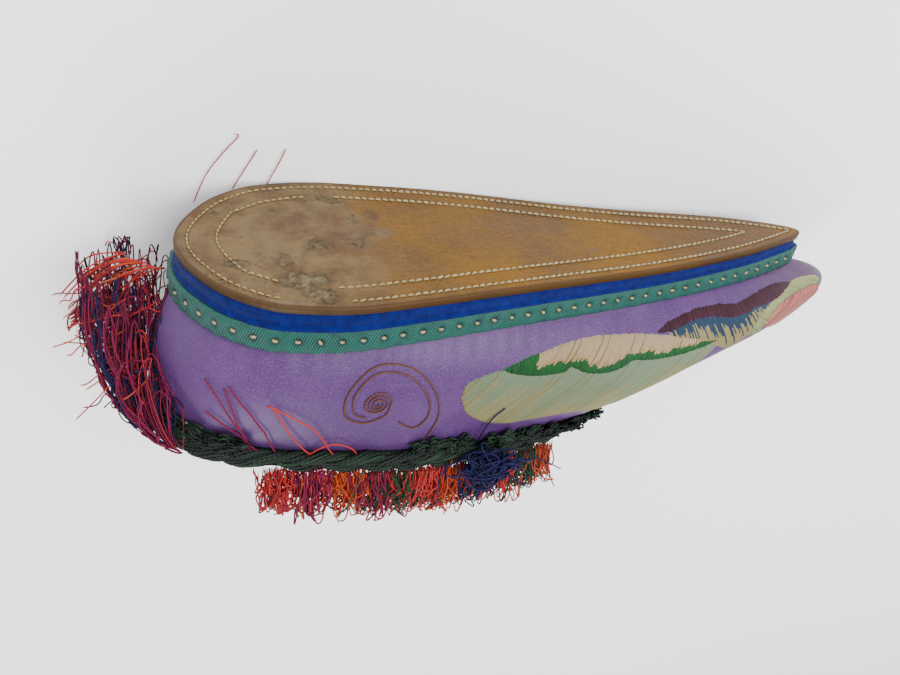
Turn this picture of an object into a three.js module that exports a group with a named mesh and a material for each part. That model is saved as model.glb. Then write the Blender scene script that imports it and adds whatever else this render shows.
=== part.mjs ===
// Lotus shoe: a hollow satin upper on a cloth midsole and a stitched leather sole, with a ribbon
// binding, a collar braid and a silk fringe, laid on its right side.
// Millimetres. The shoe is drawn with x from heel to toe, y to its left and z up from the sole,
// and is then turned so that its right side is down and z is up from the floor.

import * as THREE from "three";
import { mergeVertices } from "three/addons/utils/BufferGeometryUtils.js";

// Sole
const soleLength = 165;
const soleWidth = 54;
const outsoleThick = 1.6;
const outsoleBevel = 0.6;
const midsoleHeelThick = 4;
const midsoleToeThick = 2.2;
const midsoleSetIn = 0.8;
const insoleThick = 1.2;
const archRise = 1.2;
const archStart = 0.35;

// Upper
const flankWidth = 57;
const collarWidth = 46;
const instepHeight = 56;
const heelHeight = 44;
const toeHeight = 20;
const throatAlong = 0.64;
const toeReach = 16;
const heelReach = 6;
const wall = 1.8;
const upperSetIn = 1.5;

// Trim
const bindingHeight = 5.5;
const bindingThick = 1;
const bindingCrown = 0.3;
const braidWide = 4.4;
const braidThick = 3.2;
const braidTwists = 26;
const fringeLength = 15;
const fringeThick = 5;
const fringeLocks = 11;
const netLength = 32;
const netThick = 4;
const netFlare = 13;
const netLocks = 8;
const tasselLength = 38;
const tasselWide = 7.5;
const tasselNeck = 2.4;
const knotWide = 9;

// Clearance between pieces that meet
const fit = 0.3;

// Turns tried while the shoe settles on its side, in radians
const firstStep = 0.05;
const lastStep = 1e-6;
const triedWays = 36;

// Sections from heel to toe: along is a share of soleLength, sole a share of half soleWidth,
// flank of half flankWidth, collar of half collarWidth, and lift of the climb of the topline
const sections = [
  { along: 0, sole: 0, flank: 0, collar: 0, lift: 0 },
  { along: 0.02, sole: 0.41, flank: 0.47, collar: 0.43, lift: 0 },
  { along: 0.06, sole: 0.73, flank: 0.78, collar: 0.7, lift: 0.01 },
  { along: 0.12, sole: 0.94, flank: 0.95, collar: 0.87, lift: 0.04 },
  { along: 0.2, sole: 1, flank: 1, collar: 0.97, lift: 0.12 },
  { along: 0.3, sole: 0.94, flank: 0.99, collar: 1, lift: 0.27 },
  { along: 0.4, sole: 0.85, flank: 0.95, collar: 0.93, lift: 0.44 },
  { along: 0.5, sole: 0.745, flank: 0.905, collar: 0.74, lift: 0.66 },
  { along: 0.6, sole: 0.637, flank: 0.885, collar: 0.33, lift: 0.92 },
  { along: 0.64, sole: 0.597, flank: 0.85, collar: 0, lift: 1 },
  { along: 0.7, sole: 0.533, flank: 0.79, collar: 0, lift: 1 },
  { along: 0.85, sole: 0.356, flank: 0.605, collar: 0, lift: 1 },
  { along: 0.95, sole: 0.174, flank: 0.33, collar: 0, lift: 1 },
  { along: 1, sole: 0, flank: 0, collar: 0, lift: 1 },
];

// Rows of a section, as shares of the upright foot that the ribbon covers, and then of the
// bulge from there to the top
const footRows = [0, 0.5];
const bulgeRows = [0, 0.1, 0.2, 0.32, 0.44, 0.56, 0.68, 0.8, 0.9, 1];
const widestRow = 0.36;
const heelCurl = 0.83;
const toeCurl = 0.78;
const toeBlunt = 0.75;
const heelFadeEnd = 0.25;
const toeFadeStart = 0.4;
const ridgeWall = 1.2;
const rimFade = 0.12;

// Tassels at the heel's collar: turn is the way each lies, in degrees from straight back towards
// the collar's side, seat is its place on the braid from the upper side (1) to the floor (-1),
// and reach is a share of tasselLength
const tassels = [
  { name: "tassel_coral", color: 0xe15550, turn: 38, seat: 0.35, reach: 0.85 },
  { name: "tassel_navy", color: 0x1e1e6e, turn: 66, seat: -0.1, reach: 1 },
  { name: "tassel_sage", color: 0x8ca596, turn: 88, seat: -0.42, reach: 1.05 },
  { name: "tassel_green", color: 0x2d4b37, turn: 103, seat: -0.72, reach: 0.8 },
];

const clamp01 = (value) => Math.min(Math.max(value, 0), 1);
const mix = (from, to, share) => from + (to - from) * share;

function lookUp(column, along) {
  // A smooth curve through one column of the sections, with no overshoot between its rows
  const place = (share) => Math.acos(1 - 2 * clamp01(share));
  const last = sections.length - 2;
  const found = sections.findIndex((row) => row.along > along);
  const at = found < 0 ? last : Math.min(Math.max(found - 1, 0), last);
  const slope = (i) => {
    const low = sections[Math.min(Math.max(i, 0), last)];
    const high = sections[Math.min(Math.max(i, 0), last) + 1];
    return (high[column] - low[column]) / (place(high.along) - place(low.along));
  };
  const middle = (before, after) => (before * after > 0 ? (2 * before * after) / (before + after) : 0);
  const start = place(sections[at].along);
  const span = place(sections[at + 1].along) - start;
  const t = clamp01((place(along) - start) / span);
  const startSlope = at === 0 ? slope(0) : middle(slope(at - 1), slope(at));
  const endSlope = at === last ? slope(last) : middle(slope(at), slope(at + 1));
  const keep = 2 * t ** 3 - 3 * t ** 2 + 1;
  return (
    keep * sections[at][column] +
    (1 - keep) * sections[at + 1][column] +
    (t ** 3 - 2 * t ** 2 + t) * span * startSlope +
    (t ** 3 - t ** 2) * span * endSlope
  );
}

// Stations crowd towards the round heel and the narrow toe, and one stands at the throat
function stationList(heelCount, toeCount) {
  const heelPart = Array.from({ length: heelCount }, (_, i) =>
    throatAlong * (1 - Math.cos((Math.PI / 2) * (i / heelCount))));
  const toePart = Array.from({ length: toeCount + 1 }, (_, i) =>
    mix(throatAlong, 1, Math.sin((Math.PI / 2) * (i / toeCount))));
  return [...heelPart, ...toePart];
}

const heelStations = 18;
const toeStations = 12;
const stations = stationList(heelStations, toeStations);

// Half widths moved outwards by out, or inwards where it is negative, closed at heel and toe
function grow(half, out) {
  return out >= 0 ? Math.sqrt(half ** 2 + 2 * half * out) : Math.sqrt(half ** 2 + out ** 2) + out;
}

function soleRise(along) {
  const share = clamp01((along - archStart) / (1 - archStart));
  return archRise * Math.sin(Math.PI * share) ** 2;
}

function midsoleTop(along) {
  return outsoleThick + fit + mix(midsoleHeelThick, midsoleToeThick, along) + soleRise(along);
}

function upperFoot(along) {
  return midsoleTop(along) + fit;
}

// A point of a flat outline round the sole, at height z over the sole's own rise
function solePoint(along, side, out, z) {
  const half = grow((lookUp("sole", along) * soleWidth) / 2, out);
  return new THREE.Vector3(along * soleLength - out * (1 - 2 * along), side * half, z);
}

function topShift(along, bulge) {
  const heelFade = clamp01(1 - along / heelFadeEnd) ** 2;
  const toeFade = clamp01((along - toeFadeStart) / (1 - toeFadeStart)) ** 2;
  const heel = -heelReach * Math.sin(heelCurl * Math.PI * bulge);
  const toe = toeReach * Math.sin(toeCurl * Math.PI * bulge) ** toeBlunt;
  return heel * heelFade + toe * toeFade;
}

function upperTop(along) {
  const ridgeX = (at) => at * soleLength + topShift(at, 1);
  const start = ridgeX(throatAlong);
  const down = clamp01((ridgeX(along) - start) / (ridgeX(1) - start));
  return along <= throatAlong
    ? mix(heelHeight, instepHeight, lookUp("lift", along))
    : mix(instepHeight, toeHeight, down);
}

// The upper's own surface, moved outwards by out: row is -1 at its foot, 0 at the ribbon's top
// edge, where the satin starts to bulge, and 1 at the topline or ridge
function upperPoint(along, side, row, out) {
  const foot = grow((lookUp("sole", along) * soleWidth) / 2, -upperSetIn);
  const flank = (lookUp("flank", along) * flankWidth) / 2;
  const top = (lookUp("collar", along) * collarWidth) / 2;
  const bulge = Math.max(row, 0);
  const above = (bulge - widestRow) / (1 - widestRow);
  const half = bulge < widestRow
    ? mix(foot, flank, Math.sin((Math.PI / 2) * (bulge / widestRow)))
    : mix(top, flank, 1 - above ** 2);
  const rimDrop = clamp01(1 - (throatAlong - along) / rimFade) * ridgeWall * out;
  const low = upperFoot(along);
  const high = upperTop(along) + rimDrop;
  return new THREE.Vector3(
    along * soleLength + topShift(along, bulge) - out * (1 - 2 * along),
    side * grow(half, out),
    row < 0 ? low + bindingHeight * (1 + row) : mix(low + bindingHeight, high, row),
  );
}

// Stations all round: left side from toe to heel, then right side from heel to toe
function allRound(list = stations) {
  const left = [...list].reverse().map((along) => ({ along, side: 1 }));
  const right = list.slice(1, -1).map((along) => ({ along, side: -1 }));
  return [...left, ...right];
}

// A closed solid from triangles given as corner points, turned so that its faces point outwards
function closedSolid(corners) {
  const loose = new THREE.BufferGeometry();
  const places = corners.flatMap((p) => [p.x, p.y, p.z]);
  loose.setAttribute("position", new THREE.Float32BufferAttribute(places, 3));
  const joined = mergeVertices(loose, 1e-3);
  const kept = [];
  const index = joined.getIndex();
  for (let i = 0; i < index.count; i += 3) {
    const face = [index.getX(i), index.getX(i + 1), index.getX(i + 2)];
    if (new Set(face).size === 3) {
      kept.push(face);
    }
  }
  const point = (i) => new THREE.Vector3().fromBufferAttribute(joined.getAttribute("position"), i);
  const volume = kept.reduce((sum, [a, b, c]) => sum + point(a).dot(point(b).cross(point(c))), 0);
  joined.setIndex(kept.flatMap(([a, b, c]) => (volume > 0 ? [a, b, c] : [a, c, b])));
  joined.computeVertexNormals();
  return joined;
}

// Corners of the quads between rings; skip leaves out chosen quads
function skin(rings, { endless = false, loop = true, skip = () => false } = {}) {
  const corners = [];
  const ringSteps = endless ? rings.length : rings.length - 1;
  for (let i = 0; i < ringSteps; i += 1) {
    const here = rings[i];
    const next = rings[(i + 1) % rings.length];
    const steps = loop ? here.length : here.length - 1;
    for (let j = 0; j < steps; j += 1) {
      const k = (j + 1) % here.length;
      if (!skip(i, j)) {
        corners.push(here[j], next[j], next[k], here[j], next[k], here[k]);
      }
    }
  }
  return corners;
}

// A plate from layers, each a function that gives the outline's point at a station and a side
function plate(layers) {
  const rings = layers.map((layer) => allRound().map(({ along, side }) => layer(along, side)));
  const ladder = (layer, flip) => {
    const corners = skin(stations.map((along) => [layer(along, 1), layer(along, -1)]), { loop: false });
    return flip ? corners.reverse() : corners;
  };
  return closedSolid([
    ...skin(rings),
    ...ladder(layers[0], true),
    ...ladder(layers[layers.length - 1], false),
  ]);
}

function outsole() {
  return plate([
    (along, side) => solePoint(along, side, -outsoleBevel, soleRise(along)),
    (along, side) => solePoint(along, side, 0, soleRise(along) + outsoleBevel),
    (along, side) => solePoint(along, side, 0, soleRise(along) + outsoleThick),
  ]);
}

function midsole() {
  return plate([
    (along, side) => solePoint(along, side, -midsoleSetIn, soleRise(along) + outsoleThick + fit),
    (along, side) => solePoint(along, side, -midsoleSetIn, midsoleTop(along)),
  ]);
}

// The insole lies on the midsole, inside the foot of the upper's wall
function insole() {
  const layer = (lift) => (along, side) =>
    upperPoint(along, side, -1, -(wall + 2 * fit)).setZ(upperFoot(along) + lift);
  return plate([layer(0), layer(insoleThick)]);
}

// The hollow upper: each ring goes up the outside and down the inside of the wall. Past the
// throat the two sides share their top points, so the wall closes over the vamp as one ridge.
function upper() {
  const round = allRound();
  const rows = [...footRows.map((share) => share - 1), ...bulgeRows];
  const rings = round.map(({ along, side }) => [
    ...rows.map((row) => upperPoint(along, side, row, 0)),
    ...[...rows].reverse().map((row) => upperPoint(along, side, row, -wall)),
  ]);
  const isVamp = (i) => round[i % round.length].along >= throatAlong;
  const skip = (i, j) => j === rows.length - 1 && isVamp(i) && isVamp(i + 1);
  return closedSolid(skin(rings, { endless: true, skip }));
}

// The ribbon stands on the midsole's edge and follows the upper's own surface
function binding() {
  const steps = [0, 0.5, 1 - fit / bindingHeight];
  const bands = [
    ...steps.map((up) => ({ up, out: fit })),
    ...[...steps].reverse().map((up) =>
      ({ up, out: fit + bindingThick + bindingCrown * Math.sin(Math.PI * up) })),
  ];
  const rings = allRound().map(({ along, side }) =>
    bands.map(({ up, out }) => upperPoint(along, side, up - 1, out)));
  return closedSolid(skin(rings, { endless: true }));
}

// The middle line of the braid, on the outside of the topline and over the ridge at the throat
const braidSeat = 0.97;
const braidStandOff = 1.2;
const braidRise = 0.75;
const braidSides = 8;
const ringsPerTwist = 5;
const throatClear = 0.95;

function braidPoint(along, side) {
  return upperPoint(along, side, braidSeat, fit + (braidWide / 2) * braidStandOff);
}

function braidLine() {
  const collarStations = stations.filter((along) => along < throatAlong * throatClear);
  const points = allRound([...collarStations, throatAlong])
    .filter(({ along }) => along < throatAlong)
    .map(({ along, side }) => braidPoint(along, side));
  const front = upperPoint(throatAlong, 1, 1, 0);
  points.push(new THREE.Vector3(front.x + braidWide / 2, 0, front.z + fit + braidWide * braidRise));
  return new THREE.CatmullRomCurve3(points, true, "centripetal");
}

function braid() {
  const steps = braidTwists * ringsPerTwist;
  const line = braidLine();
  const frames = line.computeFrenetFrames(steps, true);
  const rings = Array.from({ length: steps }, (_, i) => {
    const middle = line.getPointAt(i / steps);
    const twist = Math.PI * braidTwists * (i / steps);
    return Array.from({ length: braidSides }, (_unused, j) => {
      const angle = (2 * Math.PI * j) / braidSides;
      const wide = (braidWide / 2) * Math.cos(angle);
      const thick = (braidThick / 2) * Math.sin(angle);
      const across = wide * Math.cos(twist) - thick * Math.sin(twist);
      const over = wide * Math.sin(twist) + thick * Math.cos(twist);
      return middle.clone()
        .addScaledVector(frames.normals[i], across)
        .addScaledVector(frames.binormals[i], over);
    });
  });
  return closedSolid(skin(rings, { endless: true }));
}

// A fan over the mouth of a ring, seen from the side that flip chooses
function fan(ring, flip) {
  const centre = ring.reduce((sum, p) => sum.add(p), new THREE.Vector3()).divideScalar(ring.length);
  return ring.flatMap((p, i) => {
    const q = ring[(i + 1) % ring.length];
    return flip ? [centre, q, p] : [centre, p, q];
  });
}

// A solid of rings with a fan at each end
function capped(rings) {
  return closedSolid([...skin(rings), ...fan(rings[0], false), ...fan(rings[rings.length - 1], true)]);
}

// Nothing that hangs or lies reaches below the floor
const aboveFloor = (p) => p.setZ(Math.max(p.z, 0));

// Locks of a strip: 0 between two locks, 1 at a lock's middle
const lockRound = 0.6;
const lockSwell = (share, locks) => Math.abs(Math.sin(Math.PI * locks * share)) ** lockRound;

// Outline of a strip from its root to its tip, as shares of its length and half thickness
const stripOutline = [
  { down: 0, over: 0.45 },
  { down: 0.25, over: 0.75 },
  { down: 0.5, over: 0.95 },
  { down: 0.8, over: 1 },
  { down: 1, over: 0.35 },
  { down: 1, over: -0.35 },
  { down: 0.8, over: -1 },
  { down: 0.5, over: -0.95 },
  { down: 0.25, over: -0.75 },
  { down: 0, over: -0.45 },
];
const ringsPerLock = 5;

function strip(locks, place) {
  const count = locks * ringsPerLock;
  return capped(Array.from({ length: count + 1 }, (_, i) =>
    stripOutline.map(({ down, over }) => aboveFloor(place(i / count, down, over)))));
}

// The fringe stands out of the collar, past the braid. The upper side's droops a little at its
// tips, and the lower side's falls to the floor.
const fringeStart = 0.12;
const fringeEnd = 0.56;
const fringeLean = 0.3;
const fringeDroop = 3;
const lockGap = 0.6;
const thinGap = 0.4;

function fringe(side, turn) {
  const out = new THREE.Vector3(0, side * fringeLean, 1).normalize().transformDirection(turn);
  const across = new THREE.Vector3(0, side, -fringeLean).normalize().transformDirection(turn);
  return strip(fringeLocks, (share, down, over) => {
    const swell = lockSwell(share, fringeLocks);
    const half = (fringeThick / 2) * mix(thinGap, 1, swell) * over;
    const root = braidPoint(mix(fringeStart, fringeEnd, share), side).applyMatrix4(turn);
    const fall = side > 0 ? fringeDroop : root.z;
    return root
      .addScaledVector(out, braidWide / 2 + fit + fringeLength * mix(lockGap, 1, swell) * down)
      .addScaledVector(across, half)
      .add(new THREE.Vector3(0, 0, -fall * down ** 2));
  });
}

// A place on the braid round the heel, from the upper side (seat 1) to the floor (seat -1)
const heelSpan = 0.05;

function heelSeat(seat, turn) {
  return braidPoint(heelSpan * seat ** 2, seat < 0 ? -1 : 1).applyMatrix4(turn);
}

// The knotted net hangs off the heel's collar, towards the sole and down
const netFall = 0.6;
const netBend = 1.2;
const netReach = 0.75;
const netSpread = 0.4;
const netGap = 0.8;

function heelNet(turn) {
  return strip(netLocks, (share, down, over) => {
    const seat = 1 - 2 * share;
    const root = heelSeat(seat, turn);
    const swell = lockSwell(share, netLocks);
    const reach = mix(netGap, 1, swell) * down;
    const out = new THREE.Vector3(1, 0, netSpread * seat).normalize();
    const half = (netThick / 2) * mix(thinGap, 1, swell) * over;
    const stand = braidWide / 2 + fit + netThick / 4 + netFlare * Math.sin((Math.PI / 2) * reach);
    const along = netReach * netLength * reach ** netBend;
    return root.clone()
      .addScaledVector(out, stand + half)
      .add(new THREE.Vector3(0, -along, -netFall * root.z * reach ** 2));
  });
}

// A bundle of threads: narrow at its root, with locks round it and a ragged end on the floor
const tasselRings = 9;
const tasselSides = 12;
const tasselStrands = 4;
const strandDepth = 0.16;
const strandTwist = 2;
const tasselRagged = 3;
const tasselSwell = 1.8;
const tasselFlat = 0.8;

// The middle line of a tassel: along is a share of its length, and its height is a share of the
// root's height and one of tasselWide
const tasselFall = [
  { along: 0.2, root: 0.85, wide: 0 },
  { along: 0.5, root: 0, wide: 0.45 },
  { along: 1, root: 0, wide: 0.3 },
];

function tassel({ turn: degrees, seat, reach }, turn) {
  const angle = THREE.MathUtils.degToRad(degrees);
  const way = new THREE.Vector3(Math.cos(angle), Math.sin(angle), 0);
  const aside = new THREE.Vector3(-Math.sin(angle), Math.cos(angle), 0);
  const up = new THREE.Vector3(0, 0, 1);
  const length = tasselLength * reach;
  const root = heelSeat(seat, turn).addScaledVector(way, braidWide / 2 + fit);
  const lower = tasselFall.map((row) =>
    root.clone().addScaledVector(way, length * row.along).setZ(row.root * root.z + row.wide * tasselWide));
  const line = new THREE.CatmullRomCurve3([root, ...lower], false, "centripetal");
  return capped(Array.from({ length: tasselRings + 1 }, (_, i) => {
    const share = i / tasselRings;
    const middle = line.getPoint(share);
    const round = mix(tasselNeck / 2, tasselWide / 2, Math.sin((Math.PI / 2) * share ** tasselSwell));
    return Array.from({ length: tasselSides }, (_unused, j) => {
      const spin = (2 * Math.PI * j) / tasselSides;
      const lock = Math.cos(tasselStrands * spin + strandTwist * share);
      const radius = round * (1 + strandDepth * lock);
      return aboveFloor(middle.clone()
        .addScaledVector(aside, radius * Math.cos(spin))
        .addScaledVector(up, tasselFlat * radius * Math.sin(spin))
        .addScaledVector(way, tasselRagged * lock * share ** 4));
    });
  }));
}

// A knot of threads on the flank side of the braid: a ball with raised coils
const knotAlong = 0.43;
const knotRings = 8;
const knotSides = 14;
const knotCoils = 5;
const coilDepth = 0.08;
const coilTwist = 3;
const knotStandOff = 0.35;
const knotStretch = 1.3;
const knotFlat = 0.7;

function knot(turn) {
  const out = new THREE.Vector3(0, 1, 0);
  const centre = braidPoint(knotAlong, 1).addScaledVector(out, braidWide / 2 + fit + knotStandOff * knotWide);
  const rings = Array.from({ length: knotRings + 1 }, (_, i) => {
    const polar = (Math.PI * i) / knotRings;
    return Array.from({ length: knotSides }, (_unused, j) => {
      const angle = (2 * Math.PI * j) / knotSides;
      const coil = 1 + coilDepth * Math.cos(knotCoils * angle + coilTwist * polar);
      const radius = (knotWide / 2) * coil * Math.sin(polar);
      return centre.clone()
        .add(new THREE.Vector3(
          knotStretch * radius * Math.cos(angle),
          knotFlat * radius * Math.sin(angle),
          (knotWide / 2) * Math.cos(polar),
        ))
        .applyMatrix4(turn);
    });
  });
  return closedSolid(skin(rings));
}

function named(name, geometry, color, roughness) {
  const mesh = new THREE.Mesh(geometry, new THREE.MeshStandardMaterial({ color, roughness, metalness: 0 }));
  mesh.name = name;
  return mesh;
}

const shoe = new THREE.Group();
shoe.add(named("outsole", outsole(), 0xa8783c, 0.7));
shoe.add(named("midsole", midsole(), 0x183a8c, 0.9));
shoe.add(named("insole", insole(), 0xd8d0bc, 0.95));
shoe.add(named("upper", upper(), 0x8c69a5, 0.55));
shoe.add(named("binding", binding(), 0x2d8c7d, 0.7));
shoe.add(named("collar_braid", braid(), 0x233228, 0.85));

// The corners of every face of a group's meshes
function facesOf(group) {
  return group.children.flatMap(({ geometry }) => {
    const position = geometry.getAttribute("position");
    const index = geometry.getIndex();
    const corner = (i) => new THREE.Vector3().fromBufferAttribute(position, index.getX(i));
    return Array.from({ length: index.count / 3 }, (_, i) =>
      [corner(3 * i), corner(3 * i + 1), corner(3 * i + 2)]);
  });
}

function centreOfMass(faces) {
  const sum = new THREE.Vector3();
  let volume = 0;
  faces.forEach(([a, b, c]) => {
    const share = a.dot(b.clone().cross(c)) / 6;
    sum.addScaledVector(a.clone().add(b).add(c), share / 4);
    volume += share;
  });
  return sum.divideScalar(volume);
}

// The shoe with its right side down, leaned along its length and pitched towards its toe
function sideDown(lean, pitch) {
  const basis = new THREE.Matrix4().makeBasis(
    new THREE.Vector3(-1, 0, 0),
    new THREE.Vector3(0, 0, 1),
    new THREE.Vector3(0, 1, 0),
  );
  return new THREE.Matrix4().makeRotationY(pitch)
    .multiply(new THREE.Matrix4().makeRotationX(lean))
    .multiply(basis);
}

// The turn that lays the shoe on its side, where its centre of mass is lowest, with sole edge,
// flank and toe on the floor
function restingTurn(group) {
  const faces = facesOf(group);
  const points = faces.flat();
  const centre = centreOfMass(faces);
  const lowest = (up) => points.reduce((low, p) => Math.min(low, p.dot(up)), Infinity);
  const upward = (lean, pitch) =>
    new THREE.Vector3(0, 0, 1).transformDirection(sideDown(lean, pitch).transpose());
  const height = (lean, pitch) => {
    const up = upward(lean, pitch);
    return centre.dot(up) - lowest(up);
  };
  let best = { lean: 0, pitch: 0, value: height(0, 0) };
  for (let step = firstStep; step > lastStep; step /= 2) {
    for (let i = 0; i < triedWays; i += 1) {
      const angle = (2 * Math.PI * i) / triedWays;
      const lean = best.lean + step * Math.cos(angle);
      const pitch = best.pitch + step * Math.sin(angle);
      const value = height(lean, pitch);
      if (value < best.value) {
        best = { lean, pitch, value };
      }
    }
  }
  const floor = lowest(upward(best.lean, best.pitch));
  return sideDown(best.lean, best.pitch).premultiply(new THREE.Matrix4().makeTranslation(0, 0, -floor));
}

const turn = restingTurn(shoe);
const silk = 0.8;
const trim = new THREE.Group();
trim.add(named("fringe_left", fringe(1, turn), 0xe15550, silk));
trim.add(named("fringe_right", fringe(-1, turn), 0x961e5f, silk));
trim.add(named("heel_net", heelNet(turn), 0x961e5f, silk));
trim.add(named("knot_navy", knot(turn), 0x1e1e6e, silk));
tassels.forEach((row) => trim.add(named(row.name, tassel(row, turn), row.color, silk)));
shoe.applyMatrix4(turn);

// The origin is on the floor, under the middle of everything
const part = new THREE.Group();
part.add(shoe, trim);
const extent = new THREE.Box3().setFromObject(part, true);
const middle = extent.getCenter(new THREE.Vector3());
shoe.position.sub(new THREE.Vector3(middle.x, middle.y, 0));
trim.position.set(-middle.x, -middle.y, 0);

export default part;
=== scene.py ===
"""Dresses the lotus shoe: a stitched leather sole, a blue cloth edge, a ribbed ribbon with sewn dots,
an embroidered satin upper, a braided collar and silk fringe, on a pale floor in soft studio light."""
import logging
import math
from dataclasses import dataclass, field
from enum import Enum

import bpy
import numpy as np
from mathutils import Matrix, Vector


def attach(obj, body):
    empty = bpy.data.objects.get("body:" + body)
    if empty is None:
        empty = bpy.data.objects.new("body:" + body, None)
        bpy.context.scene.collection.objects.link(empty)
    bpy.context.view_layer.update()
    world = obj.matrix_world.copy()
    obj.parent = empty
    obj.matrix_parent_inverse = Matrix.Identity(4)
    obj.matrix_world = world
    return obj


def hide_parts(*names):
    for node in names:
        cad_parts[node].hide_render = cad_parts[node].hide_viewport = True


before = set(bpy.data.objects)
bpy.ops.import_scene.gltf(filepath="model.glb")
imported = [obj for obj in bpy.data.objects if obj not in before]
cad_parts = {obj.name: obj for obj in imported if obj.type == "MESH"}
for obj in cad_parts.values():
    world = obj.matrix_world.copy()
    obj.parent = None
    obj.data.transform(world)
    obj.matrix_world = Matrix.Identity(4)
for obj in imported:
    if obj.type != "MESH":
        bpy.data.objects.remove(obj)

LOG = logging.getLogger("lotus_shoe")
MM = 0.001
TAU = 2 * math.pi
PARTS = 40
RIM_ROW = 0.97
RIB_PITCH = 0.62
DEPTH = 0.36
VIVID = 1.28
Array = np.ndarray
Value = Array | float
Color = tuple[float, float, float]
Socket = bpy.types.NodeSocket
Input = Socket | Color | float


def mix(start: Value, end: Value, share: Value) -> Value:
    """Returns the value a share of the way from start to end."""
    return start + (end - start) * share


def ease(value: Value) -> Value:
    """Returns a smooth step of values clipped to 0..1."""
    value = np.clip(value, 0, 1)
    return value * value * (3 - 2 * value)


def unit(vectors: Array) -> Array:
    """Returns the vectors scaled to length 1."""
    return vectors / np.maximum(np.linalg.norm(vectors, axis=-1, keepdims=True), 1e-9)


def around(line: Array) -> Array:
    """Returns the direction at each point of a closed polyline, from one neighbour to the other."""
    return unit(np.roll(line, -1, 0) - np.roll(line, 1, 0))


def run(line: Array) -> Array:
    """Returns how far along a polyline each of its points is."""
    return np.concatenate(((0,), np.cumsum(np.linalg.norm(np.diff(line, axis=0), axis=1))))


def heel_to_toe(count: int) -> Array:
    """Returns a column of shares of the length, closer together at heel and toe."""
    return ((1 - np.cos(np.linspace(0, np.pi, count))) / 2)[:, None]


def nearest(points: Array, targets: Array) -> Array:
    """Finds how far each point is from the nearest target, a part of the points at a time.

    Args:
        points: places, on any number of axes before the last.
        targets: places (n, 2) or (n, 3), of which only those axes of the points count.

    Returns:
        One distance a point.
    """
    axes = targets.shape[-1]
    flat = points[..., :axes].reshape(-1, axes).astype(np.float32)
    targets = targets.astype(np.float32)
    found = [np.sqrt(((part[:, None] - targets) ** 2).sum(-1).min(1))
             for part in np.array_split(flat, PARTS)]
    return np.concatenate(found).reshape(points.shape[:-1])


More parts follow.
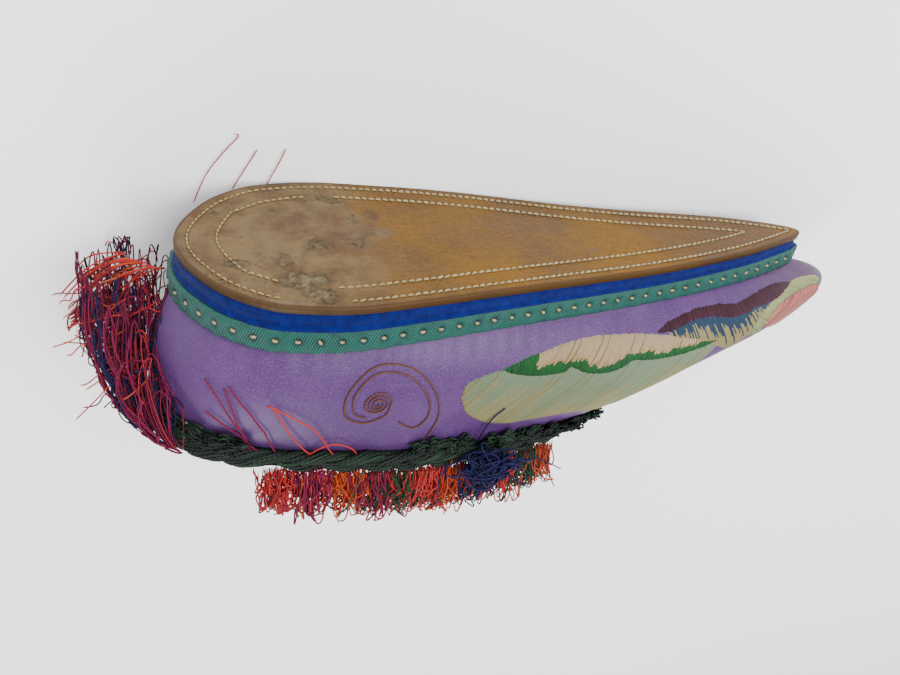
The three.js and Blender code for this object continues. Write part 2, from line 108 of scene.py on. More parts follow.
@dataclass(frozen=True)
class ShoeForm:
    """The shoe's own surfaces, in shoe millimetres: x heel to toe, y to its left, z up from the sole.

    Half widths run smoothly through the sections, with the station's place taken as the arc cosine
    of its share of the length, so that heel and toe are round.
    """

    length: float = 165.0
    sole_width: float = 54.0
    outsole: float = 1.6
    midsole_heel: float = 4.0
    midsole_toe: float = 2.2
    midsole_in: float = 0.8
    flank_width: float = 57.0
    collar_width: float = 46.0
    instep: float = 56.0
    heel: float = 44.0
    toe: float = 20.0
    throat: float = 0.64
    toe_reach: float = 16.0
    heel_reach: float = 6.0
    wall: float = 1.8
    upper_in: float = 1.5
    ribbon: float = 5.5
    braid: float = 4.4
    fit: float = 0.3
    widest: float = 0.36
    lean: float = 0.224456
    pitch: float = -0.117481
    heel_point: tuple[float, float, float] = (72.4796, -41.8313, 30.2561)
    columns: tuple[str, ...] = ("along", "sole", "flank", "collar", "lift")
    sections: tuple[tuple[float, ...], ...] = (
        (0, 0, 0, 0, 0),
        (0.02, 0.41, 0.47, 0.43, 0),
        (0.06, 0.73, 0.78, 0.7, 0.01),
        (0.12, 0.94, 0.95, 0.87, 0.04),
        (0.2, 1, 1, 0.97, 0.12),
        (0.3, 0.94, 0.99, 1, 0.27),
        (0.4, 0.85, 0.95, 0.93, 0.44),
        (0.5, 0.745, 0.905, 0.74, 0.66),
        (0.6, 0.637, 0.885, 0.33, 0.92),
        (0.64, 0.597, 0.85, 0, 1),
        (0.7, 0.533, 0.79, 0, 1),
        (0.85, 0.356, 0.605, 0, 1),
        (0.95, 0.174, 0.33, 0, 1),
        (1, 0, 0, 0, 1),
    )

    def look_up(self, column: str, along: Array) -> Array:
        """Returns a smooth curve through one column of the sections, with no overshoot.

        Args:
            column: name of the column.
            along: shares of the length.

        Returns:
            The column's value at each share.
        """
        table = np.array(self.sections, float)
        knots, value = table[:, 0], table[:, self.columns.index(column)]
        place = np.arccos(1 - 2 * knots)
        slope = np.diff(value) / np.diff(place)
        both = slope[:-1] * slope[1:]
        total = np.where(both > 0, slope[:-1] + slope[1:], 1)
        bend = np.concatenate((slope[:1], np.where(both > 0, 2 * both / total, 0), slope[-1:]))
        along = np.clip(np.asarray(along, float), 0, 1)
        k = np.clip(np.searchsorted(knots, along, side="right") - 1, 0, len(knots) - 2)
        span = place[k + 1] - place[k]
        t = np.clip((np.arccos(1 - 2 * along) - place[k]) / span, 0, 1)
        keep = 2 * t**3 - 3 * t**2 + 1
        rise = (t**3 - 2 * t**2 + t) * span * bend[k] + (t**3 - t**2) * span * bend[k + 1]
        return keep * value[k] + (1 - keep) * value[k + 1] + rise

    @staticmethod
    def grow(half: Array, out: Array) -> Array:
        """Returns half widths moved outwards by out, or inwards, closed at heel and toe."""
        outward = np.sqrt(np.maximum(half**2 + 2 * half * np.maximum(out, 0), 0))
        return np.where(np.asarray(out) >= 0, outward, np.sqrt(half**2 + np.asarray(out) ** 2) + out)

    def sole_rise(self, along: Array) -> Array:
        """Returns the arch's height over the flat heel."""
        return 1.2 * np.sin(np.pi * np.clip((along - 0.35) / 0.65, 0, 1)) ** 2

    def midsole_top(self, along: Array) -> Array:
        """Returns the height of the cloth layers' top."""
        thick = mix(self.midsole_heel, self.midsole_toe, along)
        return self.outsole + self.fit + thick + self.sole_rise(along)

    def sole_point(self, along: Array, side: Array, out: Array, z: Array) -> Array:
        """Gives points of the sole's outline: half the width at each place, moved outwards.

        Args:
            along: shares of the length.
            side: 1 at the left edge and -1 at the right, with the sole between them.
            out: distance outwards from the outline.
            z: height.

        Returns:
            Points in shoe millimetres.
        """
        along, side, out, z = np.broadcast_arrays(np.asarray(along, float), side, out, z)
        half = self.grow(self.look_up("sole", along) * self.sole_width / 2, out)
        return np.stack((along * self.length - out * (1 - 2 * along), side * half, z), -1)

    def top_shift(self, along: Array, bulge: Array) -> Array:
        """Gives how far heel and toe stand out lengthwise: a sine of the bulge, fading towards the middle.

        Args:
            along: shares of the length.
            bulge: share of the way up the satin.

        Returns:
            Shifts towards the toe, in millimetres.
        """
        heel = -self.heel_reach * np.sin(0.83 * np.pi * bulge) * np.clip(1 - along / 0.25, 0, 1) ** 2
        toe = self.toe_reach * np.sin(0.78 * np.pi * bulge) ** 0.75
        return heel + toe * np.clip((along - 0.4) / 0.6, 0, 1) ** 2

    def upper_top(self, along: Array) -> Array:
        """Gives the height of the topline, which past the throat falls along the vamp's straight ridge.

        Args:
            along: shares of the length.

        Returns:
            Heights in millimetres.
        """
        ridge = lambda at: at * self.length + self.top_shift(at, np.ones_like(at))
        start, end = ridge(np.array(self.throat)), ridge(np.array(1.0))
        down = np.clip((ridge(along) - start) / (end - start), 0, 1)
        return np.where(
            along <= self.throat,
            mix(self.heel, self.instep, self.look_up("lift", along)),
            mix(self.instep, self.toe, down),
        )

    def upper_point(self, along: Array, side: Array, row: Array, out: Array = 0.0) -> Array:
        """Gives points of the upper: its half width swells from the foot to the flank by a sine, and
        narrows to the topline by a square.

        Args:
            along: shares of the length.
            side: 1 on the left and -1 on the right.
            row: -1 at the upper's foot, 0 at the ribbon's top edge, 1 at the topline.
            out: distance outwards from the satin.

        Returns:
            Points in shoe millimetres.
        """
        along, side, row, out = np.broadcast_arrays(np.asarray(along, float), side, row, out)
        foot = self.grow(self.look_up("sole", along) * self.sole_width / 2, -self.upper_in)
        flank = self.look_up("flank", along) * self.flank_width / 2
        top = self.look_up("collar", along) * self.collar_width / 2
        bulge = np.maximum(row, 0)
        above = (bulge - self.widest) / (1 - self.widest)
        lower = mix(foot, flank, np.sin(np.pi / 2 * np.minimum(bulge / self.widest, 1)))
        half = np.where(bulge < self.widest, lower, mix(top, flank, 1 - above**2))
        rim = np.clip(1 - (self.throat - along) / 0.12, 0, 1) * 1.2 * out
        low = self.midsole_top(along) + self.fit + self.ribbon
        z = np.where(row < 0, low + self.ribbon * row, mix(low, self.upper_top(along) + rim, row))
        x = along * self.length + self.top_shift(along, bulge) - out * (1 - 2 * along)
        return np.stack((x, side * self.grow(half, out), z), -1)

    def braid_line(self, count: int) -> Array:
        """Gives the closed middle line of the collar braid: along the topline and over the throat.

        Args:
            count: number of points.

        Returns:
            Evenly spaced points (count, 3) in shoe millimetres.
        """
        turn = np.linspace(0, TAU, 241)[:-1]
        share = (1 - np.cos(turn)) / 2
        along, side = share * self.throat, np.where(turn < np.pi, 1.0, -1.0)
        out = self.fit + self.braid / 2 * 1.2
        line = self.upper_point(along, side, RIM_ROW, out)
        front = self.upper_point(np.array(self.throat), 1.0, 1.0, 0.0)
        near = np.clip((along / self.throat - 0.93) / 0.07, 0, 1)[:, None]
        over = np.array((front[0] + self.braid / 2, 0, front[2] + self.fit + self.braid * 0.75))
        line = mix(line, over * (1, 0, 1) + line * (0, 1, 0), ease(near) * near)
        return resample(line, count, closed=True)

    def axes(self) -> Array:
        """Returns the shoe's own directions in the row frame, one a row: to the toe, left and up."""
        s, c, sp, cp = math.sin(self.lean), math.cos(self.lean), math.sin(self.pitch), math.cos(self.pitch)
        return np.array(((-cp, 0, sp), (c * sp, -s, c * cp), (s * sp, c, s * cp)))

    def placed(self, points: Array) -> Array:
        """Returns shoe millimetres as row metres, with the shoe laid on its right side."""
        return (np.asarray(points) @ self.axes() + np.array(self.heel_point)) * MM

    def off_heel(self, points: Array, gap: float = 0.5) -> Array:
        """Moves points back off the heel: at each point's height the wall's outline gives the place
        along the shoe where the half width is the point's own, and x stays a gap behind that place.

        Args:
            points: places in row millimetres.
            gap: room left, in millimetres.

        Returns:
            The moved places.
        """
        shoe = (points - np.array(self.heel_point)) @ self.axes().T
        reach, foot, columns, rows = 0.2, -0.9, 80, 60
        along = np.linspace(0, reach, columns)
        half = self.upper_point(along, 1.0, np.linspace(foot, 1, rows)[:, None])[..., 1]
        low = self.midsole_top(np.array(0.03)) + self.fit + self.ribbon
        row = np.clip((shoe[..., 2] - low) / (self.heel - low), foot, 1)
        near = half[np.round((row - foot) / (1 - foot) * (rows - 1)).astype(int)]
        wall = (near < np.abs(shoe[..., 1:2])).sum(-1) * reach / (columns - 1)
        limit = wall * self.length + self.top_shift(wall, np.maximum(row, 0)) - gap
        inside = np.abs(shoe[..., 1]) < near[..., -1]
        shoe[..., 0] = np.where(inside, np.minimum(shoe[..., 0], limit), shoe[..., 0])
        return shoe @ self.axes() + np.array(self.heel_point)

    def placed_direction(self, vector: Array) -> Array:
        """Returns a shoe direction in the row frame."""
        return (self.placed(vector) - self.placed(np.zeros(3))) / MM


FORM = ShoeForm()


def resample(line: Array, count: int, closed: bool = False) -> Array:
    """Places points at even steps along a polyline.

    Args:
        line: the polyline's points (n, 2) or (n, 3).
        count: number of points wanted.
        closed: joins the last point to the first.

    Returns:
        The points, without the repeated last one where the line is closed.
    """
    if closed:
        line = np.vstack((line, line[:1]))
    place = run(line)
    at = np.linspace(0, place[-1], count + 1)[:-1] if closed else np.linspace(0, place[-1], count)
    return np.stack([np.interp(at, place, line[:, k]) for k in range(line.shape[1])], 1)


def bent(knots: Array, count: int) -> Array:
    """Draws a Catmull-Rom curve through knots.

    Args:
        knots: places on the last two axes.
        count: number of points wanted.

    Returns:
        The curve's points, with the same last axis.
    """
    knots = np.asarray(knots, float)
    ends = (2 * knots[..., :1, :] - knots[..., 1:2, :], 2 * knots[..., -1:, :] - knots[..., -2:-1, :])
    padded = np.concatenate((ends[0], knots, ends[1]), -2)
    at = np.linspace(0, knots.shape[-2] - 1, count)
    k = np.minimum(at.astype(int), knots.shape[-2] - 2)
    t = (at - k)[:, None]
    a, b, c, d = (padded[..., k + i, :] for i in range(4))
    square, cube = 2 * a - 5 * b + 4 * c - d, 3 * b - a - 3 * c + d
    return 0.5 * (2 * b + (c - a) * t + square * t**2 + cube * t**3)


@dataclass
class Sheet:
    """Quads with corner coordinates and point values, gathered before one mesh is made."""

    points: list[Array] = field(default_factory=list)
    faces: list[Array] = field(default_factory=list)
    corners: list[Array] = field(default_factory=list)
    values: dict[str, list[Array]] = field(default_factory=dict)
    count: int = 0

    def add(self, points: Array, faces: Array, corners: Array, **values: Array) -> None:
        """Adds quads with points of their own.

        Args:
            points: places (n, 3).
            faces: each quad's points (m, 4).
            corners: the quads' corner coordinates (m, 4, 2).
            values: point values, (n,) or (n, 3).
        """
        self.points.append(points)
        self.faces.append(faces + self.count)
        self.corners.append(corners)
        for name, value in values.items():
            self.values.setdefault(name, []).append(value)
        self.count += len(points)

    @staticmethod
    def quad_corners(u: Array, v: Array, offsets: tuple[tuple[Value, Value], ...]) -> Array:
        """Returns corner coordinates: u and v of each quad, moved by each corner's offset."""
        return np.stack([np.stack((u + du, v + dv), -1) for du, dv in offsets], -2)

    def grid(self, grid: Array, wrap_u: bool = False, wrap_v: bool = False, keep: Array | None = None,
             scale: tuple[float, float] = (1, 1), **values: Array) -> None:
        """Adds a grid of points (nu, nv, 3) as quads between neighbours.

        Args:
            grid: the points.
            wrap_u: joins the last row of points to the first.
            wrap_v: joins the last column of points to the first.
            keep: one flag per quad, or None to keep all.
            scale: size of the corner coordinates over the whole grid.
            values: point values, one per grid point.
        """
        nu, nv = grid.shape[:2]
        cells_u, cells_v = nu - (not wrap_u), nv - (not wrap_v)
        i, j = np.meshgrid(np.arange(cells_u), np.arange(cells_v), indexing="ij")
        i2, j2 = (i + 1) % nu, (j + 1) % nv
        faces = np.stack((i * nv + j, i2 * nv + j, i2 * nv + j2, i * nv + j2), -1)
        du, dv = scale[0] / cells_u, scale[1] / cells_v
        corners = self.quad_corners(i / cells_u * scale[0], j / cells_v * scale[1],
                                    ((0, 0), (du, 0), (du, dv), (0, dv)))
        keep = np.ones(i.shape, bool) if keep is None else keep
        flat = {name: np.broadcast_to(value, grid.shape[:2]).reshape(-1) for name, value in values.items()}
        self.add(grid.reshape(-1, 3), faces[keep], corners[keep], **flat)

    def tubes(self, lines: Array, radius: Value, sides: int = 5, closed: bool = False,
              pitch: float = 1.0, tone: Value = 1.0, tint: Value = (1.0, 1.0, 1.0)) -> None:
        """Adds round tubes, pointed at open ends. Each ring stands square to its line, on two axes that
        start across a fixed direction and turn no more than the line does.

        Args:
            lines: the middle lines (k, n, 3).
            radius: one for all, or one a line or a point.
            sides: corners of a ring.
            closed: joins each line's end to its start.
            pitch: length of one step of the corner coordinates.
            tone: one for all, or one a line.
            tint: one for all, or one a line.
        """
        lines = np.asarray(lines, float)
        k, n = lines.shape[:2]
        radius = np.broadcast_to(np.asarray(radius, float), (k, n)).copy()
        if closed:
            ahead = np.roll(lines, -1, 1) - np.roll(lines, 1, 1)
        else:
            ahead = np.gradient(lines, axis=1)
            radius[:, 0], radius[:, -1] = 1e-6, 1e-6
        ahead = unit(ahead)
        first = unit(np.cross(ahead, (0.31, 0.47, 0.83)))
        for step in range(1, n):
            behind, here = first[:, step - 1], ahead[:, step]
            first[:, step] = unit(behind - (behind * here).sum(-1, keepdims=True) * here)
        second = np.cross(ahead, first)
        if closed:
            cosine = (first[:, -1] * first[:, 0]).sum(-1)
            angle = np.arctan2((first[:, -1] * second[:, 0]).sum(-1), cosine)
            back = -angle[:, None] * np.arange(n) / n
            first = first * np.cos(back)[..., None] + second * np.sin(back)[..., None]
            second = np.cross(ahead, first)
        spin = TAU * np.arange(sides) / sides
        ring = (first[:, :, None] * np.cos(spin)[:, None] + second[:, :, None] * np.sin(spin)[:, None])
        points = lines[:, :, None] + ring * radius[:, :, None, None]
        length = np.linalg.norm(np.diff(lines, axis=1), axis=-1).sum(1) / pitch
        counts = k, n if closed else n - 1, sides
        a, i, j = np.meshgrid(*(np.arange(count) for count in counts), indexing="ij")
        at = lambda p, q: (a * n + p % n) * sides + q % sides
        faces = np.stack((at(i, j), at(i, j + 1), at(i + 1, j + 1), at(i + 1, j)), -1)
        du, dv = length[a] / n, 1 / sides
        corners = self.quad_corners(i / n * length[a], j / sides, ((0, 0), (0, dv), (du, dv), (du, 0)))
        tone = np.broadcast_to(np.reshape(tone, (-1, 1, 1)), (k, n, sides))
        tint = np.broadcast_to(np.reshape(tint, (-1, 1, 1, 3)), (k, n, sides, 3))
        self.add(points.reshape(-1, 3), faces.reshape(-1, 4), corners.reshape(-1, 4, 2),
                 tone=tone.reshape(-1), tint=tint.reshape(-1, 3))

    def build(self, name: str, material: bpy.types.Material, close: float = 2e-3,
              world: bool = False, turn_out: bool = True) -> bpy.types.Object:
        """Makes the mesh: points within close of each other become one, and faces look outwards.

        Args:
            name: the object's name.
            material: the finish.
            close: welding distance, in millimetres.
            world: True if the points are already in the row frame, in millimetres.
            turn_out: turns the faces by the sign of the enclosed volume.

        Returns:
            The new object, riding on the shoe's body.
        """
        points = np.vstack(self.points)
        faces, corners = np.vstack(self.faces), np.vstack(self.corners)
        _, first, back = np.unique(np.round(points / close).astype(np.int64), axis=0, return_index=True,
                                   return_inverse=True)
        back = back.reshape(-1)
        points = points[first]
        points = points * MM if world else FORM.placed(points)
        points[:, 2] = np.maximum(points[:, 2], 0)
        faces = back[faces]
        if turn_out:
            a, b, c, d = (points[faces[:, i]] for i in range(4))
            volume = (a * np.cross(b, c)).sum() + (a * np.cross(c, d)).sum()
            if volume < 0:
                faces, corners = faces[:, ::-1], corners[:, ::-1]
        keep = faces != np.roll(faces, 1, 1)
        good = (keep.sum(1) >= 3) & (faces[:, 0] != faces[:, 2]) & (faces[:, 1] != faces[:, 3])
        faces, corners, keep = faces[good], corners[good], keep[good]
        total = keep.sum(1)
        mesh = bpy.data.meshes.new(name)
        mesh.vertices.add(len(points))
        mesh.vertices.foreach_set("co", points.astype(np.float32).ravel())
        mesh.loops.add(int(total.sum()))
        mesh.loops.foreach_set("vertex_index", faces[keep].astype(np.int32))
        mesh.polygons.add(len(faces))
        starts = np.concatenate(((0,), np.cumsum(total)[:-1])).astype(np.int32)
        mesh.polygons.foreach_set("loop_start", starts)
        mesh.polygons.foreach_set("use_smooth", np.ones(len(faces), bool))
        mesh.update(calc_edges=True)
        layer = mesh.uv_layers.new(name="UVMap")
        layer.data.foreach_set("uv", corners[keep].astype(np.float32).ravel())
        for key, value in self.values.items():
            value = np.concatenate(value)[first].astype(np.float32)
            attribute = mesh.attributes.new(key, "FLOAT" if value.ndim == 1 else "FLOAT_VECTOR", "POINT")
            attribute.data.foreach_set("value" if value.ndim == 1 else "vector", value.ravel())
        mesh.materials.append(material)
        obj = bpy.data.objects.new(name, mesh)
        bpy.context.scene.collection.objects.link(obj)
        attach(obj, "root")
        return obj


class Finish:
    """A material's node tree, with a principled shader at its end."""

    def __init__(self, name: str, **sockets: Input) -> None:
        """Makes the material.

        Args:
            name: its name.
            sockets: constant values for the shader's own sockets.
        """
        self.material = bpy.data.materials.new(name)
        self.material.use_nodes = True
        self.tree = self.material.node_tree
        self.shader = self.tree.nodes["Principled BSDF"]
        for key, value in sockets.items():
            self.set(self.shader, key, value)
        self.object = self.node("ShaderNodeTexCoord").outputs["Object"]
        self.uv = self.node("ShaderNodeUVMap", uv_map="UVMap").outputs["UV"]

    def set(self, node: bpy.types.Node, key: str | int, value: Input) -> None:
        """Sets or links one input.

        Args:
            node: the node.
            key: the input's name, with underscores for spaces, or its number.
            value: a constant, or the output to link.
        """
        socket = node.inputs[key if isinstance(key, int) else key.replace("_", " ")]
        if isinstance(value, bpy.types.NodeSocket):
            self.tree.links.new(value, socket)
        elif isinstance(value, tuple) and len(value) == 3 and socket.type == "RGBA":
            socket.default_value = (*value, 1)
        else:
            socket.default_value = value

    def node(self, kind: str, inputs: dict[str | int, Input] | None = None,
             **settings: str | bool) -> bpy.types.Node:
        """Adds a node.

        Args:
            kind: the node's type.
            inputs: constants or outputs to link, by input.
            settings: the node's own settings.

        Returns:
            The new node.
        """
        made = self.tree.nodes.new(kind)
        for key, value in settings.items():
            setattr(made, key, value)
        for key, value in (inputs or {}).items():
            self.set(made, key, value)
        return made

    def math(self, operation: str, *values: Input, clamp: bool = False) -> Socket:
        """Returns the result of a math node."""
        inputs = dict(enumerate(values))
        return self.node("ShaderNodeMath", inputs, operation=operation, use_clamp=clamp).outputs[0]

    def value(self, name: str) -> Socket:
        """Returns a point value of the mesh."""
        return self.node("ShaderNodeAttribute", attribute_name=name).outputs["Fac"]

    def stretched(self, vector: Socket, scale: Color) -> Socket:
        """Returns coordinates multiplied axis by axis."""
        return self.node("ShaderNodeMapping", {"Vector": vector, "Scale": scale}).outputs["Vector"]

    def noise(self, vector: Socket, scale: float, detail: float = 2, rough: float = 0.5) -> Socket:
        """Returns a noise value of 0 to 1 over the coordinates."""
        inputs = {"Vector": vector, "Scale": scale, "Detail": detail, "Roughness": rough}
        return self.node("ShaderNodeTexNoise", inputs).outputs["Fac"]

    def split(self) -> tuple[Socket, Socket]:
        """Returns the two corner coordinates."""
        parts = self.node("ShaderNodeSeparateXYZ", {"Vector": self.uv}).outputs
        return parts["X"], parts["Y"]

    def spots(self, scale: float, detail: float, rough: float, *steps: float) -> Socket:
        """Returns noise over the object's own coordinates, mapped as steps does."""
        return self.steps(self.noise(self.object, scale, detail, rough), *steps)

    def steps(self, value: Input, low: float, high: float, start: float = 0, end: float = 1) -> Socket:
        """Returns a value mapped from low..high to start..end, and held outside."""
        inputs = {"Value": value, "From_Min": low, "From_Max": high, "To_Min": start, "To_Max": end}
        return self.node("ShaderNodeMapRange", inputs, interpolation_type="SMOOTHSTEP").outputs["Result"]

    def blend(self, share: Input, first: Input, second: Input) -> Socket:
        """Mixes one colour into another.

        Args:
            share: share of the second colour.
            first: a constant or an output.
            second: a constant or an output.

        Returns:
            The mixed colour.
        """
        node = self.node("ShaderNodeMix", data_type="RGBA", blend_type="MIX")
        for index, value in ((0, share), (6, first), (7, second)):
            if isinstance(value, bpy.types.NodeSocket):
                self.tree.links.new(value, node.inputs[index])
            elif index:
                node.inputs[index].default_value = (*value, 1)
            else:
                node.inputs[index].default_value = value
        return node.outputs[2]

    def color(self, value: Socket) -> None:
        """Gives the shader its colour."""
        self.set(self.shader, "Base_Color", value)

    def rough(self, value: Socket) -> None:
        """Gives the shader its roughness."""
        self.set(self.shader, "Roughness", value)

    def bump(self, height: Socket, distance: float, strength: float = 1,
             under: Socket | None = None) -> Socket:
        """Adds a bump to the shader.

        Args:
            height: the relief, 0 to 1.
            distance: its full height in metres.
            strength: share of the effect.
            under: another bump, which this one lies on.

        Returns:
            The bumped normal.
        """
        inputs = {"Height": height, "Distance": distance, "Strength": strength}
        node = self.node("ShaderNodeBump", inputs)
        if under is not None:
            self.set(node, "Normal", under)
        self.set(self.shader, "Normal", node.outputs["Normal"])
        return node.outputs["Normal"]


def srgb(red: float, green: float, blue: float) -> Color:
    """Puts a display colour in linear light, made deeper and more vivid, as the bright studio pales it.

    Args:
        red: 0 to 255.
        green: 0 to 255.
        blue: 0 to 255.

    Returns:
        The colour, with no part quite 0.
    """
    light = [(DEPTH * ((value / 255 + 0.055) / 1.055) ** 2.4) ** 1.08 for value in (red, green, blue)]
    grey = sum(light) / 3
    return tuple(max(grey + VIVID * (value - grey), 0.0005) for value in light)


def leather() -> bpy.types.Material:
    """Makes worn sole leather: mottled brown with a pebbled grain, darker at its edge and greyer under
    the heel, with scuffed patches and a dried stain.

    Returns:
        The material.
    """
    f = Finish("leather", Specular_IOR_Level=0.16)
    wear = f.value("wear")
    cloud = f.noise(f.object, 42, 5, 0.62)
    streak = f.noise(f.stretched(f.object, (170, 170, 620)), 1, 4, 0.65)
    pebble = f.noise(f.stretched(f.object, (900, 1500, 1500)), 1, 3, 0.65)
    heel = f.blend(f.spots(130, 4, 0.7, 0.35, 0.65), srgb(112, 90, 68), srgb(152, 132, 102))
    stain = f.math("MULTIPLY", f.value("stain"), f.spots(240, 4, 0.7, 0.35, 0.6, 0.15, 1))
    tan = f.blend(f.steps(cloud, 0.34, 0.66), srgb(116, 84, 16), srgb(158, 118, 28))
    for share, color in (
            (f.steps(streak, 0.42, 0.72, 0, 0.4), srgb(120, 84, 36)),
            (f.steps(pebble, 0.45, 0.7, 0, 0.4), srgb(172, 134, 56)),
            (f.spots(1100, 4, 0.75, 0.5, 0.68, 0, 0.6), srgb(92, 60, 32)),
            (f.steps(wear, 0.02, 0.3, 0, 0.85), heel),
            (f.steps(stain, 0.1, 0.9, 0, 0.6), srgb(92, 66, 58)),
            (f.steps(f.value("edge"), 0.25, 1.1, 0.8, 0), srgb(88, 62, 34))):
        tan = f.blend(share, tan, color)
    rag = f.math("MULTIPLY", f.math("SUBTRACT", f.noise(f.object, 300, 6, 0.75), 0.5), 1.5)
    rubbed = f.steps(f.math("ADD", wear, rag), 0.4, 0.72)
    gray = f.blend(f.spots(620, 5, 0.75, 0.36, 0.62), srgb(98, 82, 62), srgb(182, 168, 138))
    f.color(f.blend(f.math("MULTIPLY", rubbed, 0.85), tan, gray))
    dull = f.math("MULTIPLY", rubbed, 0.3)
    f.rough(f.math("ADD", f.steps(cloud, 0.3, 0.7, 0.42, 0.58), dull, clamp=True))
    pores = f.bump(pebble, 0.00022, 0.6)
    low = f.bump(f.noise(f.object, 210, 3, 0.6), 0.0006, 0.4, pores)
    f.bump(f.math("MULTIPLY", rubbed, f.noise(f.object, 800, 5, 0.75)), 0.0011, 0.9, low)
    return f.material


def woollen(name: str, color: Color, shade: Color) -> bpy.types.Material:
    """Makes matt cloth with a short nap and a fine weave.

    Args:
        name: the material's name.
        color: its lighter colour.
        shade: its darker colour.

    Returns:
        The material.
    """
    f = Finish(name, Roughness=0.95, Specular_IOR_Level=0.1, Sheen_Weight=0.04, Sheen_Roughness=0.5)
    f.color(f.blend(f.spots(520, 4, 0.7, 0.3, 0.7), shade, color))
    f.bump(f.noise(f.object, 2400, 4, 0.7), 0.0003, 0.7)
    return f.material


def ribbed() -> bpy.types.Material:
    """Makes teal silk ribbon with slanted ribs, a painted highlight on each rib, painted shade in the
    dimple round each dot, and dirty in places.

    Returns:
        The material.
    """
    f = Finish("teal_ribbon", Roughness=0.52, Specular_IOR_Level=0.28)
    along, up = f.split()
    lean = f.math("ADD", along, f.math("MULTIPLY", up, 2.6))
    wave = f.math("SINE", f.math("MULTIPLY", lean, TAU / RIB_PITCH))
    rib = f.math("MULTIPLY_ADD", wave, 0.5, 0.5)
    tone = f.spots(160, 3, 0.6, 0.3, 0.7)
    teal = f.blend(tone, srgb(10, 70, 68), srgb(32, 106, 96))
    rib = f.math("MULTIPLY", rib, f.spots(500, 4, 0.7, 0.3, 0.6, 0.25, 1))
    # Painted highlight: each rib is lightened towards pale teal, as where light catches its crest.
    bright = f.math("MULTIPLY", rib, f.steps(tone, 0, 1, 0.65, 0.3))
    teal = f.blend(bright, teal, srgb(92, 182, 164))
    # Painted shade: darker round each dot, in the dimple where it draws the ribbon in.
    teal = f.blend(f.steps(f.value("pull"), 0.12, 0.8, 0, 0.85), teal, srgb(8, 52, 54))
    f.color(f.blend(f.spots(420, 4, 0.7, 0.58, 0.72, 0, 0.5), teal, srgb(38, 84, 72)))
    weave = f.bump(f.noise(f.object, 3000, 2, 0.5), 0.0001, 0.4)
    f.bump(rib, 0.00022, 0.8, weave)
    return f.material


def satin() -> bpy.types.Material:
    """Makes purple silk satin: a soft even gloss over a fine speckled weave, painted highlights along its
    threads, faded in clouds and browned by handling towards the toe.

    Returns:
        The material.
    """
    f = Finish("satin", Specular_IOR_Level=0.24, Sheen_Weight=0.04, Sheen_Roughness=0.3,
               Sheen_Tint=srgb(205, 180, 225), Anisotropic=0.3)
    tone = f.spots(28, 4, 0.6, 0.3, 0.7)
    # This thread noise gives the weave's fine relief, and in the first mix below it lightens streaks along
    # the threads as painted highlight.
    thread = f.noise(f.stretched(f.object, (1900, 4200, 4200)), 1, 2, 0.6)
    purple = f.blend(tone, srgb(102, 70, 126), srgb(128, 96, 151))
    for share, color in (
            (f.steps(thread, 0.42, 0.66, 0, 0.32), srgb(170, 144, 190)),
            (f.spots(2600, 2, 0.6, 0.5, 0.68, 0, 0.4), srgb(98, 62, 124)),
            (f.spots(75, 5, 0.7, 0.55, 0.75, 0, 0.35), srgb(104, 72, 118)),
            (f.steps(f.value("soil"), 0, 1), srgb(112, 84, 96))):
        purple = f.blend(share, purple, color)
    f.color(purple)
    f.rough(f.steps(tone, 0, 1, 0.42, 0.52))
    grain = f.bump(thread, 0.0001, 0.35)
    f.bump(f.noise(f.object, 90, 3, 0.5), 0.0008, 0.25, grain)
    return f.material


def yarn(name: str = "silk_thread", rough: float = 0.62) -> bpy.types.Material:
    """Makes twisted silk: each thread has its own tint and tone, with slanted plies round it, each with a
    painted highlight.

    Args:
        name: the material's name, which is made only once.
        rough: its roughness.

    Returns:
        The material.
    """
    if name in bpy.data.materials:
        return bpy.data.materials[name]
    f = Finish(name, Roughness=rough, Specular_IOR_Level=0.14)
    ply = f.math("SINE", f.math("MULTIPLY", f.math("ADD", *f.split()), TAU))
    ply = f.math("MULTIPLY_ADD", ply, 0.5, 0.5)
    tint = f.node("ShaderNodeAttribute", attribute_name="tint").outputs["Color"]
    tone = f.steps(f.value("tone"), 0, 1, 0.75, 0)
    dull = f.blend(0.72, tint, (0.0, 0.0, 0.0))
    # Painted highlight: a touch of white laid along each ply.
    light = f.blend(0.025, tint, (1.0, 1.0, 1.0))
    f.color(f.blend(f.math("MULTIPLY", ply, 0.25), f.blend(tone, tint, dull), light))
    f.bump(ply, 0.00012, 0.6)
    return f.material


def floss(name: str, first: Color, second: Color, split_at: float = 0.5,
          soft: float = 0.15) -> bpy.types.Material:
    """Makes satin stitch: threads side by side, one colour running into another in long and short
    stitches, with painted shade in the grooves between threads and over some threads at random.

    Args:
        name: the material's name.
        first: the colour at the stitches' start.
        second: the colour at their end.
        split_at: share of a stitch at which the second begins.
        soft: unevenness of that share.

    Returns:
        The material.
    """
    f = Finish(name, Roughness=0.5, Specular_IOR_Level=0.18, Anisotropic=0.4)
    across, up = f.split()
    cell = f.node("ShaderNodeTexWhiteNoise", {"W": f.math("FLOOR", across)}, noise_dimensions="1D")
    cell = cell.outputs["Value"]
    edge = f.math("MULTIPLY_ADD", cell, soft * 2, split_at - soft)
    color = f.blend(f.steps(f.math("SUBTRACT", up, edge), -0.01, 0.03), first, second)
    color = f.blend(f.math("MULTIPLY", cell, 0.03), color, srgb(250, 246, 232))
    wave = f.math("ABSOLUTE", f.math("SINE", f.math("MULTIPLY", across, math.pi)))
    # Painted shade: darker in the grooves between threads, and over some threads at random as gaps between
    # stitches.
    gap = f.math("MAXIMUM", f.steps(wave, 0, 0.6, 0.8, 0), f.steps(cell, 0.8, 0.9, 0, 0.55))
    f.color(f.blend(gap, color, f.blend(0.72, color, (0.0, 0.0, 0.0))))
    f.bump(wave, 0.00022, 0.8)
    return f.material


